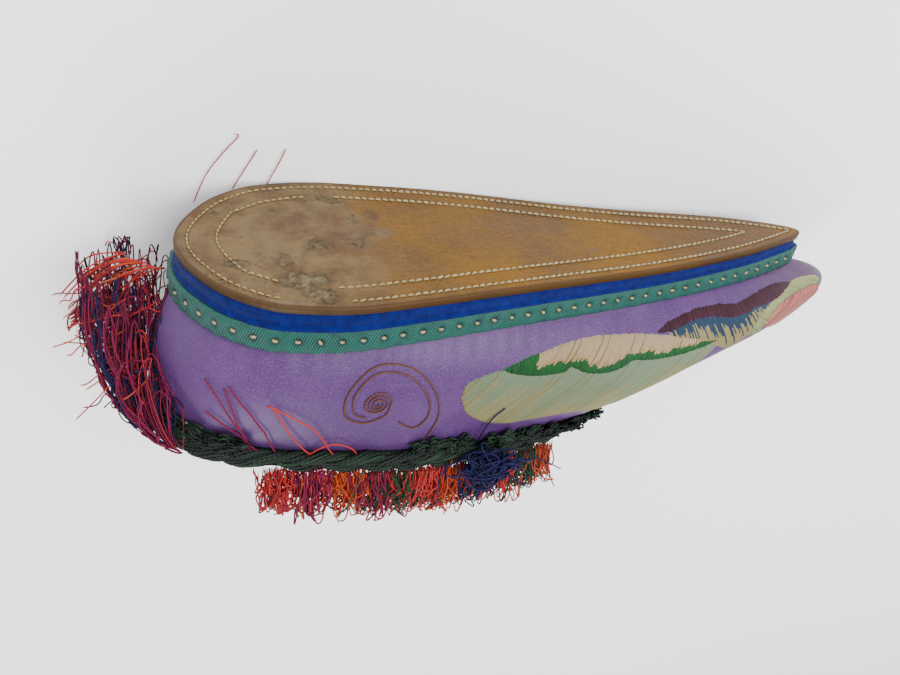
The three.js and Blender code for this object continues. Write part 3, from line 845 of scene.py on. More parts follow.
class Palette(Enum):
    """Thread colours, as display colours."""

    CREAM = (222, 208, 172)
    STRAW = (216, 196, 150)
    CORAL = (230, 98, 98)
    SALMON = (238, 130, 104)
    ORANGE = (228, 112, 56)
    MAGENTA = (152, 6, 88)
    NAVY = (22, 22, 88)
    GREEN = (48, 82, 60)
    SAGE = (148, 176, 160)
    BRAID = (36, 50, 42)
    GOLD = (132, 90, 52)

    @property
    def tint(self) -> Array:
        """This colour in linear light."""
        return np.array(srgb(*self.value))

    def pick(self, other: "Palette", share: float, rng: np.random.Generator, count: int) -> Array:
        """Returns a tint a thread: this colour's for a share of them, and the other's for the rest."""
        return np.where(rng.random((count, 1)) < share, self.tint, other.tint)


@dataclass
class Outline:
    """Even places round an outline that runs from heel to toe on the left and back on the right."""

    turns: int = 1400

    def stations(self) -> tuple[Array, Array]:
        """Returns along and side for each place."""
        turn = TAU * np.arange(self.turns) / self.turns
        return (1 - np.cos(turn)) / 2, np.where(turn < np.pi, 1.0, -1.0)


@dataclass
class Sole:
    """The leather outsole with its two rows of stitches, lying in shallow grooves.

    Bare places are x, y and radius. Patches of wear are x, y, half length, half width and strength.
    """

    stations: int = 320
    across: int = 72
    bevel: float = 0.45
    rim_steps: int = 5
    face_turn: float = 0.92
    groove: float = 0.22
    groove_width: float = 0.42
    stitch: float = 1.7
    insets: tuple[float, float] = (2.7, 7.6)
    heel_flats: tuple[float, float] = (0.0, 1.2)
    thread: float = 0.3
    bare: tuple[tuple[tuple[float, float, float], ...], ...] = (
        ((26, 23, 7),), ((26, 17, 6), (34, -18, 4)))
    patches: tuple[tuple[float, ...], ...] = (
        (24, 16, 8, 6, 0.95), (27, 22, 6, 5, 0.8), (12, 9, 4.5, 3, 0.8), (30, 3, 7, 4, 0.75),
        (39, 2, 3.5, 4, 0.6), (21, 8, 6, 6, 0.55), (36, -18, 6, 4, 0.7), (9, -12, 4, 3, 0.5),
        (46, -2, 3, 3, 0.45), (40, -8, 2.5, 5, 0.6), (97, 6, 2, 1, 0.5), (17, -6, 9, 8, 0.35))

    def edge_line(self) -> Array:
        """Returns the outline as x and y."""
        along, side = Outline(1200).stations()
        return FORM.sole_point(along, side, 0.0, 0.0)[:, :2]

    def row(self, inset: float, heel_flat: float) -> Array:
        """Draws a stitch row: the outline moved inwards, cut where its two sides meet at the toe.

        Args:
            inset: distance inwards from the outline.
            heel_flat: how much further in the row is round the heel, as a sine of the turn.

        Returns:
            The row as x and y, from the toe round the heel and back.
        """
        line, heel = self.edge_line(), 30
        ahead = around(line)
        inward = np.stack((ahead[:, 1], -ahead[:, 0]), 1)
        angle = np.arctan2(line[:, 1], line[:, 0] - heel)
        facet = heel_flat * np.abs(np.sin(2.5 * angle)) * np.clip((heel - line[:, 0]) / 20, 0, 1)
        moved = line + inward * (inset + facet)[:, None]
        keep = (moved[:, 1] * np.sign(line[:, 1]) > 0.02) & (line[:, 0] > -1)
        moved = moved[keep | (np.abs(line[:, 0]) < 1)]
        return np.roll(moved, -np.argmax(moved[:, 0]), 0)

    def wear(self, xy: Array) -> Array:
        """Gives how far the leather is rubbed: all over the heel, and more in the listed patches,
        each of them strongest at its middle.

        Args:
            xy: places on the sole.

        Returns:
            Wear of 0 to 1.
        """
        worn = 0.28 * (1 - ease((xy[..., 0] - 28) / 30))
        for x, y, half_length, half_width, strength in self.patches:
            away = np.hypot((xy[..., 0] - x) / half_length, (xy[..., 1] - y) / half_width)
            worn = np.maximum(worn, strength * (1 - ease(away / 1.25)))
        return worn

    @staticmethod
    def stain(xy: Array) -> Array:
        """Gives the dried stain: strongest along an uneven ring, fainter inside it.

        Args:
            xy: places on the sole.

        Returns:
            The stain's strength.
        """
        x, y = (xy[..., 0] - 38) / 7.5, (xy[..., 1] + 8) / 8.5
        turn = np.arctan2(y, x)
        away = np.hypot(x, y) * (1 + 0.1 * np.sin(3 * turn + 0.6) + 0.06 * np.sin(7 * turn))
        open_side = ease((np.cos(turn - 0.9) + 0.5) / 0.8)
        return np.exp(-(((away - 1) / 0.13) ** 2)) * open_side + 0.5 * ease((1.1 - away) / 0.3)

    def build(self) -> list[bpy.types.Object]:
        """Makes the leather and its stitches: a flat face that curves to a bevelled rim, with a groove
        under each stitch row and shallow dents.

        Returns:
            The two pieces.
        """
        along = heel_to_toe(self.stations)
        face = np.sin(np.linspace(-1, 1, self.across) * np.pi / 2 * self.face_turn)
        face = face / math.sin(np.pi / 2 * self.face_turn)
        arc = np.linspace(0, np.pi / 2, self.rim_steps)[None, 1:]
        out, up = -self.bevel * (1 - np.sin(arc)), self.bevel * (1 - np.cos(arc))
        rise = FORM.sole_rise(along)
        points = np.concatenate((
            FORM.sole_point(along, face[None], -self.bevel, rise),
            FORM.sole_point(along, 1.0, out, rise + up),
            FORM.sole_point(along, 1.0, 0.0, rise + FORM.outsole),
            FORM.sole_point(along, -1.0, 0.0, rise + FORM.outsole),
            FORM.sole_point(along, -1.0, out[:, ::-1], rise + up[:, ::-1])), 1)
        away = nearest(points, self.edge_line())
        on_face = np.zeros(points.shape[:2])
        on_face[:, 2:self.across - 2] = 1
        rows = [self.row(*shape) for shape in zip(self.insets, self.heel_flats)]
        dip = self.groove * np.exp(-((away - self.insets[0]) / self.groove_width) ** 2)
        dip = dip + self.groove * np.exp(-(nearest(points, rows[1]) / self.groove_width) ** 2)
        worn = self.wear(points)
        sag = np.abs(0.12 * np.sin(points[..., 0] / 11) * np.sin(points[..., 1] / 7))
        points[..., 2] += on_face * (dip + 0.25 * worn * (away > 1.5) + sag * np.clip(away / 4, 0, 1))
        sheet = Sheet()
        sheet.grid(points, wrap_v=True, edge=np.where(on_face > 0, away, 0), wear=worn,
                   stain=self.stain(points))
        base = sheet.build("sole_leather", leather())
        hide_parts("outsole")
        stitches = Sheet()
        rng = np.random.default_rng(7)
        for line, bare in zip(rows, self.bare):
            self.stitch_row(stitches, line, bare, rng)
        thread = stitches.build("sole_stitches", yarn())
        return [base, thread]

    def stitch_row(self, sheet: Sheet, line: Array, bare: tuple, rng: np.random.Generator) -> None:
        """Adds one capsule a stitch, dipping into its holes at both ends by a sine, and worn flatter and
        browner towards the heel.

        Args:
            sheet: the sheet that takes the stitches.
            line: the closed row as x and y.
            bare: places without stitches, as x, y and radius.
            rng: the source of small unevenness.
        """
        line = np.vstack((line, line[:1]))
        place = run(line)
        count = int(place[-1] // self.stitch)
        t, middle = np.linspace(0, 1, 7), 3
        start = (np.arange(count) + 0.08) * place[-1] / count
        size = self.stitch * rng.uniform(0.82, 0.94, count)
        at = start[:, None] + size[:, None] * t
        x, y = (np.interp(at, place, line[:, k]) for k in range(2))
        y = y + rng.normal(0.06, 0.06, count)[:, None] * np.cos(np.pi * t)
        z = FORM.sole_rise(x / FORM.length) + 0.26 - 0.34 * np.sin(np.pi * t) ** 0.5
        keep = np.ones(count, bool)
        for bare_x, bare_y, reach in bare:
            keep &= np.hypot(x[:, middle] - bare_x, y[:, middle] - bare_y) > reach
        radius = self.thread * (0.4 + 0.6 * np.sin(np.pi * t) ** 0.6) * rng.uniform(0.9, 1.1, (count, 1))
        flat = np.clip((52 - x[:, middle]) / 20, 0, 1)
        radius = radius * (1 - 0.2 * flat[:, None])
        z = z + 0.12 * flat[:, None]
        tone = rng.uniform(0.5, 1, count) * (1 - 0.15 * flat)
        tint = mix(Palette.CREAM.tint, Palette.STRAW.tint, flat[:, None])
        sheet.tubes(np.stack((x, y, z), -1)[keep], radius[keep], 6, pitch=0.9, tone=tone[keep],
                    tint=tint[keep])


@dataclass
class ClothEdge:
    """The blue cloth layers between sole and upper, bulging a little at their edge."""

    stations: int = 420
    layers: int = 3
    rows: int = 14
    flare: float = 0.95

    def build(self) -> bpy.types.Object:
        """Makes the plate: rounded layers at its edge, with small unevenness along it.

        Returns:
            The plate.
        """
        along = heel_to_toe(self.stations)
        up = np.linspace(0, 1, self.rows)[None]
        z = mix(FORM.sole_rise(along) + FORM.outsole - 0.1, FORM.midsole_top(along) + 0.25, up)
        bulge = 0.55 * np.sin(np.pi * up) ** 0.6 + 0.05 * np.abs(np.sin(np.pi * self.layers * up)) ** 0.7
        flare = self.flare * ease((up - 0.72) / 0.25)
        sides = []
        for side, phase in ((1.0, 0.0), (-1.0, 1.7)):
            wander = 0.16 * np.sin(along * 37 + phase) + 0.1 * np.sin(along * 91 + 3 * up + phase)
            out = -FORM.midsole_in + bulge * (1 + wander) + flare
            sides.append(FORM.sole_point(along, side, out, z))
        sheet = Sheet()
        sheet.grid(np.concatenate((sides[0], sides[1][:, ::-1]), 1), wrap_v=True)
        obj = sheet.build("cloth_edge", woollen("blue_wool", srgb(28, 62, 144), srgb(16, 40, 104)))
        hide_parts("midsole")
        return obj


@dataclass
class Ribbon:
    """The ribbed ribbon round the foot of the upper, drawn in at each sewn dot."""

    places: int = 1100
    pitch: float = 4.4
    dot_row: float = 0.45
    thick: float = 1.05
    swell: float = 0.3
    dent: float = 0.5
    dot_out: float = 1.3

    def dots(self) -> tuple[Array, Array]:
        """Spaces the dots at even steps round the outline.

        Returns:
            Along and side of each dot.
        """
        along, side = Outline(2400).stations()
        place = run(FORM.upper_point(along, side, -0.5, self.dot_out))
        count = int(round(place[-1] / self.pitch))
        at = np.interp((np.arange(count) + 0.5) * place[-1] / count, place, np.arange(len(along)))
        k = at.astype(int)
        return along[k], side[k]

    def build(self) -> list[bpy.types.Object]:
        """Makes the ribbon and its dots: a band that swells between its edges by a sine, dented by a
        bell curve round each dot, with edges that scallop from dot to dot.

        Returns:
            The two pieces.
        """
        along, side = (values[:, None] for values in Outline(self.places).stations())
        up = np.linspace(0, 0.97, 11)[None]
        dot_along, dot_side = self.dots()
        centre = FORM.upper_point(dot_along, dot_side, self.dot_row - 1, self.dot_out)
        out = FORM.fit + self.thick + self.swell * np.sin(np.pi * up)
        near = nearest(FORM.upper_point(along, side, up - 1, out), centre)
        turn = TAU * np.arange(self.places)[:, None] / self.places
        scallop = 0.12 * np.cos(turn * len(dot_along)) * (0.4 + 0.6 * np.abs(2 * up - 1))
        out = out - self.dent * np.exp(-((near / 0.9) ** 2)) + scallop
        outer = FORM.upper_point(along, side, up - 1, out)
        inner = FORM.upper_point(along, side, up[:, ::-1] - 1, 0.1)
        ribs = round(np.linalg.norm(np.diff(outer[:, 5], axis=0), axis=1).sum() / RIB_PITCH)
        # Painted shade round each dot's dimple, passed to the ribbon's finish as a point value.
        pull = np.exp(-((near / 1.15) ** 2))
        sheet = Sheet()
        sheet.grid(np.concatenate((outer, inner), 1), wrap_u=True, wrap_v=True,
                   scale=(ribs * RIB_PITCH, 2.0), pull=np.concatenate((pull, 0 * pull), 1))
        band = sheet.build("ribbon", ribbed())
        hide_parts("binding")
        dots = Sheet()
        rng = np.random.default_rng(3)
        base = FORM.upper_point(dot_along, dot_side, self.dot_row - 1, FORM.fit + 0.95)
        ahead = around(base)
        upwards = unit(FORM.upper_point(dot_along, dot_side, -0.3, self.dot_out)
                       - FORM.upper_point(dot_along, dot_side, -0.8, self.dot_out))
        outward = unit(np.cross(ahead, upwards))
        middle = np.array((80.0, 0, 20.0))
        outward *= np.sign((outward * (base - middle)).sum(-1, keepdims=True))
        t = np.linspace(-1, 1, 7)
        tilt = rng.normal(0.25, 0.2, len(base))[:, None]
        way = ahead * np.cos(tilt) + upwards * np.sin(tilt)
        size = rng.uniform(0.5, 0.78, len(base))[:, None, None]
        line = base[:, None] + way[:, None] * t[:, None] * size
        line = line + outward[:, None] * (0.25 * (1 - t**2))[:, None]
        radius = 0.36 * np.sqrt(np.maximum(1 - t**2, 0.02)) * np.ones((len(base), 1))
        dots.tubes(line, radius, 7, pitch=0.8, tone=rng.uniform(0.5, 1, len(base)),
                   tint=Palette.CREAM.tint)
        sewn = dots.build("ribbon_dots", yarn())
        return [band, sewn]


@dataclass
class Upper:
    """The hollow satin upper with its lining, softly creased.

    Creases are along and row of both ends, width and height.
    """

    heel_count: int = 130
    toe_count: int = 90
    rows: int = 36
    row_length: float = 38
    creases: tuple[tuple[float, ...], ...] = (
        (0.005, 0.40, 0.045, 0.82, 1.0, -0.42),
        (0.018, 0.47, 0.065, 0.88, 0.9, -0.36),
        (0.003, 0.55, 0.03, 0.86, 1.1, 0.30),
        (0.30, 0.75, 0.42, 0.55, 3.0, -0.45),
        (0.36, 0.95, 0.47, 0.72, 2.6, 0.40),
        (0.05, 0.85, 0.13, 0.60, 3.2, -0.50),
        (0.10, 0.97, 0.20, 0.80, 3.0, 0.30),
        (0.50, 0.62, 0.66, 0.45, 3.4, -0.40),
        (0.60, 0.90, 0.75, 0.80, 3.0, 0.28),
        (0.22, 0.30, 0.34, 0.22, 4.0, -0.25),
        (0.78, 0.60, 0.90, 0.50, 2.6, -0.25),
    )

    def relief(self, along: Array, row: Array) -> Array:
        """Gives the creases' height: a soft trough or ridge along each line from one place to another,
        a bell curve across it, fading at its ends.

        Args:
            along: shares of the length.
            row: share of the way up the satin.

        Returns:
            Heights in millimetres.
        """
        x, y = along * FORM.length, row * self.row_length
        total = np.zeros(np.broadcast(x, y).shape)
        for a0, r0, a1, r1, width, height in self.creases:
            start = np.array((a0 * FORM.length, r0 * self.row_length))
            way = np.array((a1 * FORM.length, r1 * self.row_length)) - start
            t = np.clip(((x - start[0]) * way[0] + (y - start[1]) * way[1]) / (way @ way), 0, 1)
            away = np.hypot(x - start[0] - t * way[0], y - start[1] - t * way[1])
            total += height * np.exp(-((away / width) ** 2)) * np.sin(np.pi * np.clip(t, 0.04, 0.96)) ** 0.5
        return total

    def surface(self, along: Array, side: Array, row: Array, out: Array) -> Array:
        """Gives the upper's dressed surface: the form with creases, fine ripples over the ribbon by a
        sine along the shoe, and a rounded ridge.

        Args:
            along: shares of the length.
            side: 1 on the left and -1 on the right.
            row: share of the way up the satin.
            out: distance outwards from the satin.

        Returns:
            Points in shoe millimetres.
        """
        along, side, row, out = np.broadcast_arrays(along, side, row, out)
        fade = np.clip(np.minimum(along, 1 - along) / 0.012, 0, 1)
        fade = fade * ease((row + 0.05) / 0.15) * ease((1 - row) / 0.12)
        ripple = 0.13 * np.sin(TAU * 41 * along + 2 * np.sin(23 * along))
        ripple = ripple * ease((0.2 - row) / 0.16) * ease(row / 0.04)
        points = FORM.upper_point(along, side, row, out + (self.relief(along, row) + ripple) * fade)
        past = ease((along - FORM.throat) / 0.03)
        points[..., 2] -= past * 0.7 * np.exp(-((points[..., 1] / 2.6) ** 2))
        return points

    def build(self) -> bpy.types.Object:
        """Makes the wall: each ring goes up the satin and down the lining, and the vamp closes at its
        ridge.

        Returns:
            The upper, with satin outside and cotton inside.
        """
        heel = FORM.throat * (1 - np.cos(np.pi / 2 * np.arange(self.heel_count) / self.heel_count))
        toe = mix(FORM.throat, 1, np.sin(np.pi / 2 * np.linspace(0, 1, self.toe_count + 1)))
        left = np.concatenate((heel, toe))[::-1]
        along = np.concatenate((left, left[1:-1][::-1]))[:, None]
        side = np.concatenate((np.ones(len(left)), -np.ones(len(left) - 2)))[:, None]
        rows = np.concatenate(((-1, -0.5), np.linspace(0, 1, self.rows)))[None]
        outer = self.surface(along, side, rows, 0.0)
        inner = FORM.upper_point(along, side, rows[:, ::-1], -FORM.wall)
        vamp = along[:, 0] >= FORM.throat
        keep = np.ones((len(along), 2 * rows.shape[1]), bool)
        keep[:, rows.shape[1] - 1] = ~(vamp & np.roll(vamp, -1))
        soil = ease((along - 0.8) / 0.2) * 0.5 + 0 * rows
        soil = np.maximum(soil, ease((rows - 0.86) / 0.2) * ease((along - 0.6) / 0.1) * 0.8)
        sheet = Sheet()
        sheet.grid(np.concatenate((outer, inner), 1), wrap_u=True, wrap_v=True, keep=keep,
                   soil=np.concatenate((soil, soil[:, ::-1]), 1),
                   lining=np.concatenate((0 * soil, 0 * soil + 1), 1))
        obj = sheet.build("satin_upper", satin())
        obj.data.materials.append(woollen("lining_cotton", srgb(250, 246, 238), srgb(222, 214, 198)))
        value = np.zeros(len(obj.data.vertices), np.float32)
        obj.data.attributes["lining"].data.foreach_get("value", value)
        first = np.zeros(len(obj.data.polygons), np.int32)
        obj.data.polygons.foreach_get("loop_start", first)
        index = np.zeros(len(obj.data.loops), np.int32)
        obj.data.loops.foreach_get("vertex_index", index)
        inside = (np.minimum.reduceat(value[index], first) > 0.5).astype(np.int32)
        obj.data.polygons.foreach_set("material_index", inside)
        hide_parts("upper")
        return obj


@dataclass
class Insole:
    """The cotton insole on the cloth layers."""

    stations: int = 160
    across: int = 40

    def build(self) -> bpy.types.Object:
        """Makes a plate with a soft edge that follows the wall's foot, and small waves on its top.

        Returns:
            The plate.
        """
        along = heel_to_toe(self.stations)
        face = np.linspace(1, -1, self.across)[None]
        side = np.concatenate((np.ones((1, 2)), face, -np.ones((1, 2))), 1)
        lift = np.concatenate(((0.0, 0.8), np.full(self.across, 1.1), (0.8, 0.0)))[None]
        inset = np.concatenate(((0.0, 0.0), np.full(self.across, 0.3), (0.0, 0.0)))[None]
        points = FORM.upper_point(along, np.sign(side), -1.0, -(FORM.wall + 0.1) - inset)
        points[..., 1] *= np.abs(side)
        lift = lift * (1 + 0.08 * np.cos(side * 9) * np.sin(along * 30))
        points[..., 2] = FORM.midsole_top(along) + FORM.fit + lift
        sheet = Sheet()
        sheet.grid(points, wrap_v=True)
        cotton = woollen("insole_cotton", srgb(244, 238, 226), srgb(212, 202, 182))
        obj = sheet.build("insole_cotton", cotton)
        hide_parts("insole")
        return obj


@dataclass(frozen=True)
class Patch:
    """A field of satin stitch on both flanks: its outline as (along, row) places, its stitches' way
    and its two colours, with the share of each stitch at which the second begins."""

    name: str
    outline: tuple[tuple[float, float], ...]
    way: tuple[float, float]
    first: tuple[int, int, int]
    second: tuple[int, int, int]
    split_at: float = 0.5
    soft: float = 0.15
    pitch: float = 0.38
    lift: float = 0.35
    ragged: float = 0.12
    fray: float = 0.0
    columns: int = 3
    end_steps: int = 16
    curve_steps: int = 14

    def height(self, along: Array) -> Array:
        """Returns the bulge's height over the ribbon at each share of the length."""
        return FORM.upper_top(along) - FORM.midsole_top(along) - FORM.fit - FORM.ribbon

    def build(self, upper: Upper) -> bpy.types.Object:
        """Makes the stitches: columns across the outline, each between the two places where it crosses
        it, some columns a thread, rising from the satin at both ends by a square root.

        Args:
            upper: the satin that carries them.

        Returns:
            The field on both flanks, as one piece.
        """
        places = np.array(self.outline)
        plane = np.stack((places[:, 0] * FORM.length, places[:, 1] * self.height(places[:, 0])), 1)
        plane = bent(np.vstack((plane, plane[:1])), self.curve_steps * len(plane))
        lengthwise = unit(np.array(self.way, float))
        across = np.array((lengthwise[1], -lengthwise[0]))
        s, t = plane @ across, plane @ lengthwise
        threads = max(int((s.max() - s.min()) / self.pitch), 3)
        column = np.linspace(s.min() + 1e-3, s.max() - 1e-3, threads * self.columns + 1)
        s2, t2 = np.roll(s, -1), np.roll(t, -1)
        over = (s[None] - column[:, None]) * (s2[None] - column[:, None]) <= 0
        span = np.where(np.abs(s2 - s) < 1e-9, 1e-9, s2 - s)
        cross = t + (t2 - t) * np.clip((column[:, None] - s) / span, 0, 1)
        low = np.where(over, cross, np.inf).min(1)
        high = np.where(over, cross, -np.inf).max(1)
        rng = np.random.default_rng(len(self.name) * 7 + threads)
        thread = np.minimum(np.arange(len(column)) // self.columns, threads - 1)
        shift = rng.uniform(-self.ragged, self.ragged, (2, threads))
        shift[0] -= rng.uniform(0, self.fray, threads) if self.fray else 0
        wide = high - low
        fade = np.clip(wide / 1.5, 0, 1)
        low, high = low + shift[0][thread] * fade, high + shift[1][thread] * fade
        v = (1 - np.cos(np.linspace(0, np.pi, self.end_steps))) / 2
        at = mix(low[:, None], high[:, None], v)
        xy = column[:, None, None] * across + at[..., None] * lengthwise
        along = np.clip(xy[..., 0] / FORM.length, 0.001, 0.9995)
        row = np.clip(xy[..., 1] / self.height(along), 0.01, 0.985)
        reach = np.minimum(at - low[:, None], high[:, None] - at)
        crown = np.sqrt(np.clip(reach / 0.8, 0, 1)) * np.clip(wide / 1.2, 0, 1)[:, None]
        ridge = np.abs(np.sin(np.pi * np.arange(len(column)) / self.columns))[:, None]
        out = -0.08 + (self.lift + 0.1 * ridge) * crown
        out[0], out[-1] = -0.1, -0.1
        back = slice(None, None, -3)
        sheet = Sheet()
        for side in (1.0, -1.0):
            top = upper.surface(along, side, row, out)
            both = np.concatenate((top, upper.surface(along[:, back], side, row[:, back], -0.1)), 1)
            sheet.grid(both, wrap_v=True, scale=(threads, both.shape[1] / (self.end_steps - 1)))
        finish = floss(self.name, srgb(*self.first), srgb(*self.second), self.split_at, self.soft)
        obj = sheet.build(self.name, finish, close=1e-3)
        return obj


@dataclass
class Embroidery:
    """Two petal motifs on each flank, in satin stitch, and a couched thread spiral."""

    patches: tuple[Patch, ...] = (
        Patch("petal_pale", ((0.361, 0.40), (0.366, 0.30), (0.388, 0.262), (0.418, 0.236), (0.442, 0.262),
                             (0.475, 0.28), (0.515, 0.27), (0.532, 0.25), (0.56, 0.28), (0.60, 0.275),
                             (0.635, 0.245), (0.68, 0.27), (0.73, 0.30), (0.775, 0.31), (0.77, 0.38),
                             (0.74, 0.50), (0.69, 0.60), (0.63, 0.65), (0.56, 0.66), (0.50, 0.69),
                             (0.45, 0.70), (0.41, 0.66), (0.378, 0.56)),
              (0.66, -0.75), (192, 184, 142), (158, 178, 150), 0.5, 0.4, 0.42, 0.35),
        Patch("petal_green", ((0.418, 0.236), (0.447, 0.195), (0.478, 0.165), (0.476, 0.222), (0.50, 0.216),
                              (0.53, 0.203), (0.55, 0.205), (0.571, 0.243), (0.593, 0.236), (0.616, 0.208),
                              (0.638, 0.196), (0.664, 0.213), (0.69, 0.243), (0.714, 0.247), (0.76, 0.262),
                              (0.79, 0.31), (0.765, 0.318), (0.735, 0.32), (0.70, 0.305), (0.665, 0.28),
                              (0.638, 0.25), (0.632, 0.25), (0.61, 0.285), (0.583, 0.305), (0.555, 0.295),
                              (0.535, 0.258), (0.529, 0.256), (0.515, 0.288), (0.485, 0.298), (0.45, 0.28)),
              (0.25, -0.97), (40, 108, 60), (52, 124, 70), 0.5, 0.3, 0.36, 0.5),
        Patch("petal_peach", ((0.478, 0.165), (0.525, 0.124), (0.573, 0.108), (0.634, 0.12), (0.675, 0.15),
                              (0.71, 0.187), (0.745, 0.235), (0.762, 0.264), (0.737, 0.262), (0.714, 0.25),
                              (0.69, 0.245), (0.664, 0.215), (0.638, 0.198), (0.616, 0.212), (0.593, 0.238),
                              (0.571, 0.245), (0.55, 0.208), (0.53, 0.206), (0.50, 0.218), (0.476, 0.226)),
              (0.62, -0.78), (220, 190, 152), (228, 206, 174), 0.4, 0.3, 0.4, 0.62, 0.12, 1.5),
        Patch("wave_plum", ((0.677, 0.147), (0.70, 0.115), (0.723, 0.10), (0.765, 0.085), (0.804, 0.096),
                            (0.832, 0.122), (0.859, 0.11), (0.896, 0.097), (0.926, 0.105), (0.95, 0.155),
                            (0.93, 0.182), (0.904, 0.205), (0.886, 0.2), (0.859, 0.187), (0.835, 0.199),
                            (0.811, 0.19), (0.782, 0.15), (0.748, 0.139), (0.718, 0.154), (0.69, 0.156)),
              (0.12, -0.99), (92, 4, 62), (78, 2, 52), 0.5, 0.3, 0.36, 0.55),
        Patch("wave_slate", ((0.70, 0.158), (0.748, 0.139), (0.782, 0.15), (0.811, 0.19), (0.835, 0.197),
                             (0.859, 0.187), (0.886, 0.205), (0.864, 0.262), (0.845, 0.33), (0.83, 0.42),
                             (0.80, 0.46), (0.782, 0.39), (0.762, 0.31), (0.738, 0.262), (0.708, 0.2)),
              (0.16, 0.98), (62, 90, 120), (206, 192, 148), 0.46, 0.28, 0.38, 0.38),
        Patch("leaf_yellow", ((0.83, 0.40), (0.842, 0.313), (0.864, 0.256), (0.888, 0.212), (0.923, 0.185),
                              (0.948, 0.153), (0.966, 0.158), (0.982, 0.20), (0.992, 0.29), (0.99, 0.38),
                              (0.981, 0.36), (0.967, 0.295), (0.934, 0.255), (0.90, 0.262), (0.868, 0.34),
                              (0.85, 0.45)),
              (0.8, 0.6), (206, 212, 162), (188, 200, 150), 0.5, 0.3, 0.4, 0.45),
        Patch("leaf_pink", ((0.858, 0.38), (0.87, 0.335), (0.90, 0.265), (0.934, 0.26), (0.967, 0.30),
                            (0.98, 0.37), (0.984, 0.47), (0.975, 0.60), (0.945, 0.66), (0.905, 0.62),
                            (0.875, 0.50)),
              (0.92, -0.38), (232, 166, 156), (222, 148, 142), 0.5, 0.3, 0.4, 0.35),
    )
    spiral_centre: tuple[float, float] = (0.241, 0.39)
    outer_loop: tuple[tuple[float, float], ...] = (
        (3.2, 0.0), (2.2, 3.8), (-2.4, 5.6), (-6.6, 2.6), (-6.4, -4.0), (-1.0, -9.4), (7.0, -8.2),
        (12.6, -2.6), (15.2, 5.0), (14.4, 13.0), (12.0, 19.5))
    inner_loop: tuple[tuple[float, float], ...] = (
        (5.6, 6.6), (9.8, 9.6), (12.6, 6.0), (11.6, -0.4), (6.4, -6.4), (-0.6, -7.8), (-5.0, -3.4),
        (-4.8, 2.0), (-1.8, 4.2))

    def spiral(self, upper: Upper) -> bpy.types.Object:
        """Makes the couched thread: a tight coil, whose radius grows evenly with its turn, and which
        opens into a double loop towards the collar.

        Args:
            upper: the satin that carries it.

        Returns:
            The thread on both flanks, as one piece.
        """
        turn = np.linspace(0, 3 * TAU, 110)
        radius = 0.5 + 2.7 * turn / turn[-1]
        coil = np.stack((radius * np.cos(turn), radius * np.sin(turn)), 1)
        loop, inner = bent(np.array(self.outer_loop), 120), bent(np.array(self.inner_loop), 120)
        height = self.patches[0].height
        centre_x = self.spiral_centre[0] * FORM.length
        centre_z = self.spiral_centre[1] * float(height(np.array(self.spiral_centre[0])))
        sheet = Sheet()
        for side in (1.0, -1.0):
            for path in (np.vstack((coil, loop[1:])), inner):
                along = (centre_x + path[:, 0]) / FORM.length
                row = np.clip((centre_z + path[:, 1]) / height(along), 0.02, 0.98)
                sheet.tubes(upper.surface(along, side, row, 0.22)[None], 0.17, 6, pitch=0.8, tone=0.8,
                            tint=Palette.GOLD.tint)
        obj = sheet.build("spiral_thread", yarn(), close=1e-3)
        return obj

    def build(self, upper: Upper) -> list[bpy.types.Object]:
        """Makes every field and the spiral."""
        return [patch.build(upper) for patch in self.patches] + [self.spiral(upper)]


